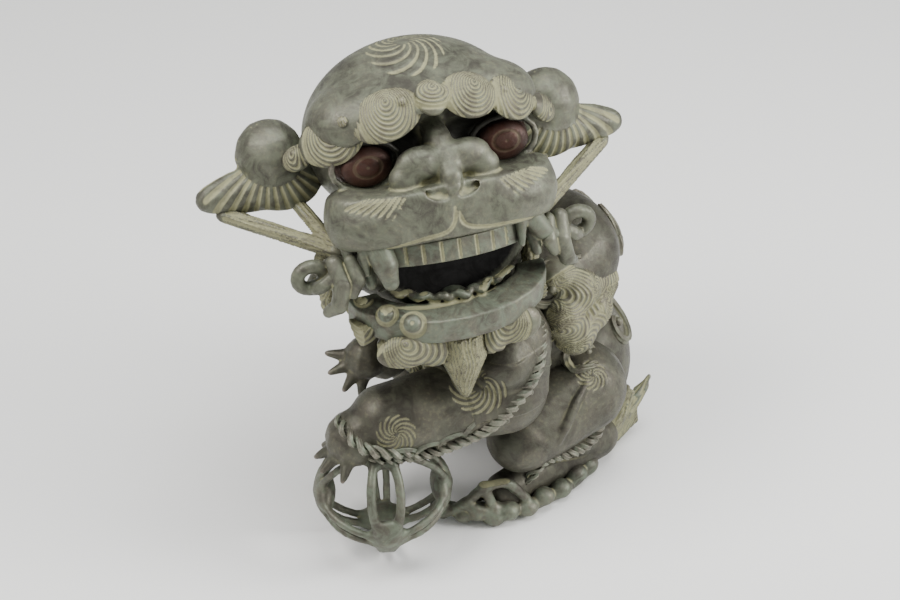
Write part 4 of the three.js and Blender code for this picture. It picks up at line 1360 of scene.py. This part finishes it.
    def mouth(self, shop: Workshop) -> None:
        """Teeth, fangs, tongue and the lower jaw."""
        teeth = Clay.over(["upper_teeth"], 0.5, 5).soften(2)
        gaps = []
        for x in np.arange(-30, 31, 10.0):
            front = 30 - abs(x) * 0.12
            gaps.append(Scratch(on_head([(x, front, -40), (x, front, -57)]), 0.7, 0.9))
        shop.cast(teeth, "upper_teeth", Body.HEAD, GREEN, gaps)
        extra = {"right": (([(-42, 17, -39), (-39.5, 20.5, -50), (-38, 21, -60)], (7.4, 6.8, 4.4)),
                           ([(-49, 15, -40), (-49, 16, -54)], (3.8, 1.6)),
                           ([(-56, 9, -40), (-56, 11, -55)], (3.8, 1.6))),
                 "left": (([(44, 16, -40), (51, 15, -50), (58, 13, -55)], (6.6, 5.6, 3.8)),
                          ([(38, 20, -40), (37, 20, -54)], (3.6, 1.8)))}
        for side, ropes in extra.items():
            fangs = Clay.over([f"{side}_fangs"], 0.5, 24).soften(2)
            for path, radii in ropes:
                fangs.add(Rope(on_head(path), radii), 1.5)
            shop.cast(fangs, f"{side}_fangs", Body.HEAD, GREEN)
        tongue = Clay.over(["tongue"], 0.6, 5).soften(4)
        shop.cast(tongue, "tongue", Body.HEAD, GREEN)
        jaw = Clay.over(["lower_jaw"], 0.65, 6).soften(3)
        tools: list[Tool] = []
        for place, radius in (((-52, 8, -68), 4.5), ((-42, 17, -78), 5.0), ((-30, 24, -84), 5.8)):
            jaw.add(Blob(on_head(place), (radius,) * 3), 1.2)
            tools.append(Whirl(on_head(place), along_head((-0.3, 0.9, 0.4)), radius * 1.7, 1.6, depth=0.6,
                               sharp=3, reach=1.5))
        gum = [(x, 13 - (abs(x) / 13) ** 2 + 1.6 * math.sin(x * 0.55),
                -77 + (abs(x) / 12) ** 2 + 1.2 * math.cos(x * 0.7)) for x in np.linspace(-46, 46, 47)]
        jaw.add(Rope(on_head(gum), 2.4), 2)
        rim = on_head([(-60, -5, -52), (-46, 6, -66), (-23, 14, -77), (-1, 14, -81), (18, 11, -76),
                       (30, 5, -70), (50, -6, -54)])
        tools.append(Scratch(rim, 1.2, 0.8))
        shop.cast(jaw, "lower_jaw", Body.HEAD, GREEN, tools)

    def beard(self, shop: Workshop) -> None:
        """Ringed curls under the jaw and the pointed goatee."""
        curls = Clay.over(["beard_curls"], 0.6, 7).soften(2)
        spots = (((-56, 4, -84), (15, 6, 13), (-0.45, 0.85, -0.1), (0.5, 0, -1)),
                 ((-31, 15, -101), (19, 6, 10), (-0.15, 0.95, 0), (0.7, 0, -0.6)),
                 ((30, 13, -100), (15, 6, 11), (0.2, 0.95, 0), (-0.4, 0, -1)),
                 ((52, -1, -82), (13, 6, 12), (0.5, 0.85, -0.1), (0, 0, -1)))
        whirls = []
        for place, size, facing, towards in spots:
            curls.add(Blob(on_head(place), size, HEAD_AXES), 2.5)
            knob = np.array(place, float) + (-4, 4, 6)
            curls.add(Blob(on_head(knob), (2.6,) * 3), 0.6)
            whirls.append(Whirl(on_head(knob), along_head(facing), size[0] * 1.1, 8, 0, along_head(towards),
                                0.8, 0.5, depth=0.7, reach=1.3))
        shop.cast(curls, "beard_curls", Body.HEAD, HAIR, [Scales(whirls)])
        goatee = Clay.over(["goatee"], 0.55, 6).soften(2)
        fall = on_head([(0, 10, -86), (0, 8, -112), (0, -2, -138)])
        shop.cast(goatee, "goatee", Body.HEAD, HAIR, [Comb(fall, 24, 1.9, 0.7, 0.8)])
        strands = []
        for i, x in enumerate(np.linspace(-15, 15, 11)):
            bow = 12 - abs(x) * 0.35
            strands.append(Strand(on_head([(x, bow - 3, -84), (x * 0.97, bow + 2, -99), (x * 0.66, bow, -117),
                                           (x * 0.1, -1, -139)]), 2.5, 0.7, 0.25, twist=1.0 * (-1) ** i))
        shop.hair("goatee_strands", Body.HEAD, HAIR, strands, 5)

    def nape_hair(self, shop: Workshop) -> None:
        """Rows of curled locks round the sides and back of the dome's edge."""
        strands, beads = [], []
        rows = ((-6, -30, 1.02, 0.0), (-34, -56, 1.0, 0.5), (-60, -76, 0.98, 0.0))
        for top, bottom, reach, offset in rows:
            for i in range(8):
                a = math.radians(-62 + 124 * (i + offset) / 7.5)
                if abs(a) > math.radians(66):
                    continue
                out = np.array([math.sin(a) * 60, -34 - math.cos(a) * 50])
                root = on_head((out[0] * 0.94, out[1] * 0.97, top))
                bead = on_head((out[0] * reach, out[1] * reach, bottom))
                if bead[2] < 157:
                    continue
                lock, knob = curl(self.guide, root, bead, 3.0, 1 if i % 2 else -1)
                strands.append(lock)
                beads.append(knob)
        shop.hair("nape_locks", Body.HEAD, HAIR, strands)
        shop.beads("nape_beads", Body.HEAD, HAIR, beads)


# ------------------------------------------------------------------ the body


@dataclass
class Torso:
    """The hollow body casting with its mane and chest hair."""

    step: float = 1.0
    mane_centres: Sequence = ((34, 8, 142), (44, 18, 132), (47, 4, 122), (49, 12, 106), (44, 30, 112),
                              (36, 42, 122), (44, 18, 132))
    mane_whirls: Sequence = (((48, 0, 140), (0, 1, -0.5), 22), ((58, -6, 120), (0, 1, -0.2), 24),
                             ((58, 6, 102), (0, 1, 0.3), 22), ((48, 34, 122), (0, 0.6, -1), 20),
                             ((50, 22, 136), (0, 1, -0.3), 18))
    chest_centres: Sequence = ((0, -64, 112), (-14, -60, 104), (14, -60, 104), (0, -62, 96), (-10, -60, 120),
                               (10, -60, 120))
    middle: Sequence[float] = (0, 0, 118)
    forms: Sequence = (((0, 42, 44), (50.2, 46.2, 50.2)), ((0, 18, 98), (46.2, 47.2, 58.2)),
                       ((0, -26, 112), (42.2, 36.2, 52.2)), ((2, 20, 122), (47.2, 48.2, 46.2)),
                       ((-5, -42, 134), (38.2, 38.2, 36.2)))

    def make(self, shop: Workshop) -> None:
        """Builds the casting, the manes and the locks that lie on them."""
        self.guide = self.swell(Clay.over(["body_shell", "left_hind_leg", "right_hind_leg", "left_foreleg",
                                           "right_foreleg"], 2.0, 18))
        shell = self.swell(Clay.over(["body_shell"], self.step, 16))
        shell.stand()
        spine = [(-2, 56, 146), (-4, 76, 118), (-6, 86, 92)]
        ruff = Comb(self.guide.cling(spine), 10, 2.4, 0.6)
        shop.cast(shell, "body_shell", Body.LION, LEGS, [ruff], limit=170_000)
        for side, name in ((1, "left"), (-1, "right")):
            self.mane(shop, side, name)
        self.chest(shop)
        self.locks(shop)

    def neck(self, p: Array) -> Array:
        """Distance into the round bore of the neck."""
        return 21 - np.hypot(p[..., 0] + 9, p[..., 1] + 50) - 1e3 * (p[..., 2] < 130)

    def swell(self, clay: Clay) -> Clay:
        """Fills the casting out to its full round form."""
        eggs = [Blob(at, radii) for at, radii in self.forms]
        clay.add(Hull(eggs, 4.4, (lambda p: p[..., 2] - 150, lambda p: -p[..., 2]), (self.neck,), 3), 0)
        clay.soften(3)
        return clay.add(Blob((6, 43, 134), (38, 26, 30)), 8)

    def mane(self, shop: Workshop, side: int, name: str) -> None:
        """Overlapping ringed curls on the side of the neck."""
        clay = Clay.over([f"{name}_mane"], 0.65, 9)
        mirror = np.array([side, 1, 1])
        clay.add(Rope(np.array(self.mane_centres) * mirror, 10.2), 6)
        clay.soften(4)
        whirls = []
        for (x, y, z), towards, radius in self.mane_whirls:
            out = unit((side * x - self.middle[0], (y - 10) * 0.6, (z - self.middle[2]) * 0.35))
            whirls.append(Whirl((side * x, y, z), out, radius, 12, 0, np.array(towards) * mirror, 0.75, 0.7,
                                depth=0.7, reach=1.2))
        shop.cast(clay, f"{name}_mane", Body.LION, HAIR, [Scales(whirls)])

    def chest(self, shop: Workshop) -> None:
        """Small ringed curls down the chest."""
        clay = Clay.over(["chest_mane"], 0.65, 6).soften(2)
        whirls = [Whirl((x, y - 6, z), (x * 0.02, -1, 0), 13, 6, 1, lean=0.4, towards=(0, 0, -1), depth=0.7,
                        reach=1.2) for x, y, z in self.chest_centres]
        shop.cast(clay, "chest_mane", Body.LION, HAIR, [Scales(whirls)])

    def locks(self, shop: Workshop) -> None:
        """Curled locks over the neck, the shoulders and the back."""
        strands, beads = [], []
        visible = (
            ((34, 30, 146), (42, 0, 140), 3.0, 1), ((52, 4, 112), (54, -19, 126), 2.8, -1),
            ((44, 42, 104), (43, 26, 79), 3.0, 1), ((30, 62, 108), (30, 65, 74), 3.0, -1),
        )
        for root, bead, radius, hand in visible:
            for side in (1, -1):
                if side < 0 and bead[1] < -5:
                    continue
                mirror = np.array([side, 1, 1])
                lock, knob = curl(self.guide, root * mirror, bead * mirror, radius, hand * side)
                strands.append(lock)
                beads.append(knob)
        rows = ((152, 134, 46, 5), (134, 112, 52, 4), (114, 94, 56, 3))
        for row, (top, bottom, reach, count) in enumerate(rows):
            for i in range(count):
                a = math.radians(-38 + 76 * (i + 0.5) / count)
                out = np.array([math.sin(a) * reach, 22 + math.cos(a) * reach])
                hand = 1 if (i + row) % 2 else -1
                lock, knob = curl(self.guide, (out[0] * 0.9, out[1] - 3, top), (*out, bottom), 3.2, hand)
                strands.append(lock)
                beads.append(knob)
        shop.hair("mane_locks", Body.LION, HAIR, strands)
        shop.beads("mane_beads", Body.LION, HAIR, beads)


@dataclass
class Forelegs:
    """The left foreleg that holds the ball and the raised right foreleg."""

    step: float = 0.7

    def make(self, shop: Workshop) -> None:
        """Builds both legs and the plaited fringe of the left one."""
        left = Clay.over(["left_foreleg"], self.step, 7).soften(5)
        left.add(Rope([(38, -30, 116), (44, -38, 88)], (25.3, 24.3)), 4)
        left.add(Rope([(44, -38, 88), (22, -107, 91)], (24.3, 18.3)), 6)
        left.add(Blob((50, -44, 116), (16, 15, 15)), 8)
        tools: list[Tool] = [
            Whirl((48, -59, 104), (0.5, -0.45, 0.75), 16, 4.5, 14, (0, -1, 0.3), inner=0.25, depth=0.8,
                  reach=0.7, sharp=3),
            Whirl((38.5, -111, 91), (0.62, -0.45, 0.62), 11, 3.6, 12, (0, -1, 0.3), inner=0.1, depth=0.8,
                  reach=0.7, sharp=3),
        ]
        shop.cast(left, "left_foreleg", Body.LION, LEGS, tools)
        right = Clay.over(["right_foreleg"], self.step, 6).soften(3)
        shop.cast(right, "right_foreleg", Body.LION, LEGS,
                  [Whirl((-58, -38, 100), (-1, -0.2, 0.2), 13, 1.1, 11, inner=0.15, depth=0.7, reach=0.8)])
        fringe = Clay.over(["foreleg_fringe"], 0.6, 8).soften(3)
        fringe.add(Rope([(42, -34, 68), (42, -50, 67), (39, -66, 66), (35, -80, 67)], (5, 6.5, 6.5, 5)), 4)
        shop.cast(fringe, "foreleg_fringe", Body.LION, GREEN)
        guide = Clay.over(["left_foreleg"], 2.0, 12)
        ridge = guide.cling([(50, -16, 134), (60, -22, 126), (65, -32, 112), (65, -46, 98), (60, -62, 84),
                             (53, -80, 74), (46, -96, 70), (38, -112, 72), (32, -126, 78)], 0.6)
        strands = plait(ridge, 2.5, 3, 1.3, 17)
        cuff = guide.cling([(46, -100, 74), (42, -118, 80), (34, -130, 88), (20, -136, 98),
                            (6, -132, 104)], 0.8)
        strands += plait(cuff, 2.1, 2, 1.2, 14)
        beads = []
        rows = smooth_line(ridge, 8)
        out = unit((0.8, 0.5, -0.5))
        for at in np.linspace(0.12, 0.8, 7):
            k = int(at * (len(rows) - 1))
            end = rows[min(k + 7, len(rows) - 1)]
            lock, knob = curl(guide, rows[k] + out, end + out * 5, 2.3, 1, 0.9, 0.5)
            strands.append(lock)
            beads.append(knob)
        shop.hair("foreleg_plait", Body.LION, GREEN, strands, 5, 0.3)
        shop.beads("foreleg_beads", Body.LION, GREEN, beads)


@dataclass
class HindLegs:
    """The crouched hind legs with the flames at their hocks."""

    step: float = 0.75
    flame_tips: Sequence = ((50, 77, 38), (47, 73, 25), (53, 60, 36), (49, 66, 13))

    def make(self, shop: Workshop) -> None:
        """Builds both sides."""
        for side, name in ((1, "left"), (-1, "right")):
            mirror = np.array([side, 1, 1])
            clay = Clay.over([f"{name}_hind_leg"], self.step, 6)
            clay.add(Rope(np.array([(42, 24, 54), (48, -26, 46)]) * mirror, (29.3, 20.3)), 3)
            shank = np.array([(48, -26, 46), (50, 34, 14), (48, -39, 11)]) * mirror
            clay.add(Rope(shank, (14.2, 13.2, 11.2)), 2)
            clay.soften(2)
            leaf = np.array([(60, 14, 74), (64, 2, 68), (68, -10, 58), (68, -14, 50)]) * mirror
            clay.add(Rope(leaf, (1.6, 2.6, 3.0, 1.5)), 2)
            hip = (side * 58.5, 19, 76)
            tools: list[Tool] = [Whirl(hip, (side * 0.67, 0.21, 0.71), 9, 3.0 * side, 10, (0, 1, 0),
                                       inner=0.12, depth=0.8, reach=1.0, sharp=3)]
            shop.cast(clay, f"{name}_hind_leg", Body.LION, LEGS, tools)
            tuft = Clay.over([f"{name}_hock_tuft"], 0.55, 9).soften(5)
            for tip in self.flame_tips:
                root = np.array((49, 26, 10.0))
                bent = (root + np.array(tip)) / 2 + (2, 3, -4)
                flame = smooth_line(np.array([root, bent, tip]) * mirror, 5)
                tuft.add(Rope(flame, np.linspace(7.5, 1.4, len(flame))), 3)
            flow = np.array([(50, 24, 6), (51, 44, 12), (50, 60, 26), (50, 76, 42)]) * mirror
            tools = [Comb(flow, 34, 2.4, 0.7, 0.6)]
            shop.cast(tuft.stand(), f"{name}_hock_tuft", Body.LION, GREEN, tools)
            guide = Clay.over([f"{name}_hind_leg"], 2.0, 12)
            seam = np.array([(66, 30, 34), (67, 16, 30), (66, 0, 28), (64, -16, 24), (62, -30, 20)]) * mirror
            seam = guide.cling(seam, 0.5)
            strands = plait(seam, 2.3, 3, 1.2, 15)
            shop.hair(f"{name}_shank_hair", Body.LION, GREEN, strands, 5, 0.3)


@dataclass
class BrocadeBall:
    """The openwork ball: paired bowed straps between six bosses, with its ribbon."""

    centre: Sequence[float] = (22, -109, 38.5)
    radius: float = 38.5
    turn: float = math.radians(56)
    dip: float = math.radians(13.5)
    strap: float = 2.5
    bow: float = 8.5
    slit: float = 3.6
    ribbon_knots: Sequence = ((44, -66), (50, -60), (56, -53), (61, -46), (64, -34), (65, -22), (65, -8),
                              (63, 6), (60, 18))
    struts: Sequence = (((36, -76, 6), (44, -66, 14), (50, -56, 26)),
                        ((50, -56, 26), (55, -54, 14), (58, -50, 8)),
                        ((44, -66, 14), (52, -62, 12), (58, -54, 8)),
                        ((50, -56, 26), (56, -44, 26), (62, -34, 12)))

    def axes(self) -> Array:
        """Rows are the ball's own three axes; the first two level ones carry the front boss."""
        c, s, cd, sd = math.cos(self.turn), math.sin(self.turn), math.cos(self.dip), math.sin(self.dip)
        across = np.array([c, s, 0.0])
        back = np.array([-s * cd, c * cd, sd])
        return np.stack([across, back, np.cross(across, back)])

    def make(self, shop: Workshop) -> None:
        """Builds the cage and the ribbon."""
        axes, centre = self.axes(), np.array(self.centre)
        clay = Clay.over(["brocade_ball"], 0.6, 6).empty()
        skin = self.radius - self.strap
        poles = [(k, s) for k in range(3) for s in (-1, 1)]
        for i, (ka, sa) in enumerate(poles):
            for kb, sb in poles[i + 1:]:
                if ka == kb:
                    continue
                a, b = axes[ka] * sa, axes[kb] * sb
                wide = self.bow if {(ka, sa), (kb, sb)} == {(1, -1), (2, 1)} else self.slit
                side = np.cross(a, b)
                for way in (-1, 1):
                    rows = []
                    for t in np.linspace(0, 1, 15):
                        p = a * math.cos(t * math.pi / 2) + b * math.sin(t * math.pi / 2)
                        p = p * skin + side * way * wide * math.sin(math.pi * t) ** 0.6
                        rows.append(centre + unit(p) * skin)
                    clay.add(Rope(rows, self.strap * (1.05 if wide > 5 else 0.85)), 1.6)
        for k, s in poles:
            size = np.array([13.5, 13.5, 13.5])
            size[k] = 6.0
            size[(k + 2) % 3] *= 0.72
            clay.add(Blob(centre + axes[k] * s * (self.radius - 5.0), size, axes), 4)
        shop.cast(clay.stand(), "brocade_ball", Body.LION, GREEN, roughness=0.16)
        ribbon = Clay.over(["ball_ribbon"], 0.6, 9).soften(2)
        for i, (x, y) in enumerate(self.ribbon_knots):
            ribbon.add(Blob((x, y, 6.5 + 2 * (i % 2)), (6.2, 6.8, 5.4)), 2)
        for path in self.struts:
            ribbon.add(Rope(smooth_line(path, 4), 3.1), 2)
        shop.cast(ribbon.stand(), "ball_ribbon", Body.LION, GREEN, roughness=0.15)


@dataclass
class Tail:
    """The upright flame tail behind the rump."""

    def make(self, shop: Workshop) -> None:
        """Builds the flame with its flowing lines."""
        clay = Clay.over(["tail"], 0.65, 9).soften(3)
        flow = [(-8, 84, 28), (-10, 88, 62), (-11, 80, 92), (-13, 68, 120)]
        clay.add(Rope(smooth_line(flow, 4), np.interp(np.linspace(0, 1, 13), (0, 0.35, 1), (5, 9.5, 2))), 5)
        for side in (-1, 1):
            tongues = (((-9, 86, 44), (-9 + side * 17, 82, 66)), ((-10, 86, 66), (-10 + side * 16, 76, 92)))
            for root, tip in tongues:
                middle = (np.array(root) + tip) / 2 + (side * 4, 3, -5)
                tongue = smooth_line([root, middle, tip], 5)
                clay.add(Rope(tongue, np.linspace(6.5, 1.6, len(tongue))), 3)
        shop.cast(clay, "tail", Body.LION, HAIR, [Comb(flow, 30, 2.4, 0.8, 1.0)])


@dataclass
class Fittings:
    """The CAD nodes that are right as they are: the hinge and the base plate."""

    def make(self, shop: Workshop) -> None:
        """Dresses the nodes."""
        for name, finish in (("hinge_leaf_fixed", IRON), ("hinge_leaf_moving", IRON), ("hinge_pin", IRON),
                           ("base_plate", CAST)):
            obj = frame["nodes"][name]
            obj.data.materials.clear()
            obj.data.materials.append(shop.finishes[finish.name])


# ------------------------------------------------------------------ the studio


@dataclass
class Studio:
    """A pale floor, soft lights and the camera."""

    target: Sequence[float] = (0, -30, 130)
    azimuth: float = math.radians(50)
    elevation: float = math.radians(38)
    distance: float = 1150
    lens: float = 80
    shift: tuple[float, float] = (-0.0149, -0.0124)

    def make(self) -> None:
        """Sets up the floor, the world, the lights and the camera."""
        scene = bpy.context.scene
        self.floor()
        world = bpy.data.worlds.new("studio air")
        world.use_nodes = True
        world.node_tree.nodes["Background"].inputs["Color"].default_value = (0.95, 0.96, 0.95, 1)
        world.node_tree.nodes["Background"].inputs["Strength"].default_value = 0.5
        scene.world = world
        self.light("key", (-0.25, -0.75, 1.15), 0.6, 15, (1.0, 0.98, 0.95))
        self.light("top", (0.1, 0.15, 1.3), 0.7, 12, (0.97, 0.99, 1.0))
        self.light("rim", (0.75, 0.65, 0.6), 0.4, 12, (1.0, 0.99, 0.97))
        data = bpy.data.cameras.new("camera")
        data.lens, data.sensor_width = self.lens, 36
        data.shift_x, data.shift_y = self.shift
        camera = bpy.data.objects.new("camera", data)
        scene.collection.objects.link(camera)
        ce, se = math.cos(self.elevation), math.sin(self.elevation)
        away = np.array([ce * math.sin(self.azimuth), -ce * math.cos(self.azimuth), se])
        camera.location = to_row(np.array(self.target) + away * self.distance)
        camera.rotation_euler = Vector(-away).to_track_quat("-Z", "Y").to_euler()
        scene.camera = camera

    def light(self, name: str, place: Sequence[float], size: float, power: float,
              tint: Sequence[float]) -> None:
        """One soft square light that looks at the statue."""
        data = bpy.data.lights.new(name, "AREA")
        data.energy, data.size, data.color = power, size, tint
        lamp = bpy.data.objects.new(name, data)
        lamp.location = place
        lamp.rotation_euler = (Vector((0, 0, 0.13)) - Vector(place)).to_track_quat("-Z", "Y").to_euler()
        bpy.context.scene.collection.objects.link(lamp)

    def floor(self) -> None:
        """A wide plain pale sheet."""
        mesh = bpy.data.meshes.new("floor")
        mesh.from_pydata([(-6, -6, 0), (6, -6, 0), (6, 6, 0), (-6, 6, 0)], [], [(0, 1, 2, 3)])
        made = bpy.data.materials.new("pale floor")
        made.use_nodes = True
        shader = made.node_tree.nodes["Principled BSDF"]
        shader.inputs["Base Color"].default_value = (0.86, 0.86, 0.85, 1)
        shader.inputs["Roughness"].default_value = 0.9
        mesh.materials.append(made)
        floor = bpy.data.objects.new("floor", mesh)
        bpy.context.scene.collection.objects.link(floor)
        floor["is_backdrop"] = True


def corners() -> list[list[float]]:
    """The present box of the whole object as plain lists."""
    return [list(v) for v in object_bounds()]


def main() -> None:
    """Builds the statue over the frame and reports each piece."""
    logging.basicConfig(level=logging.INFO, format="%(message)s")
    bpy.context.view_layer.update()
    shop = Workshop()
    for part in (Head(), Torso(), Forelegs(), HindLegs(), BrocadeBall(), Tail(), Fittings()):
        part.make(shop)
    Studio().make()


if __name__ == "__main__":
    main()
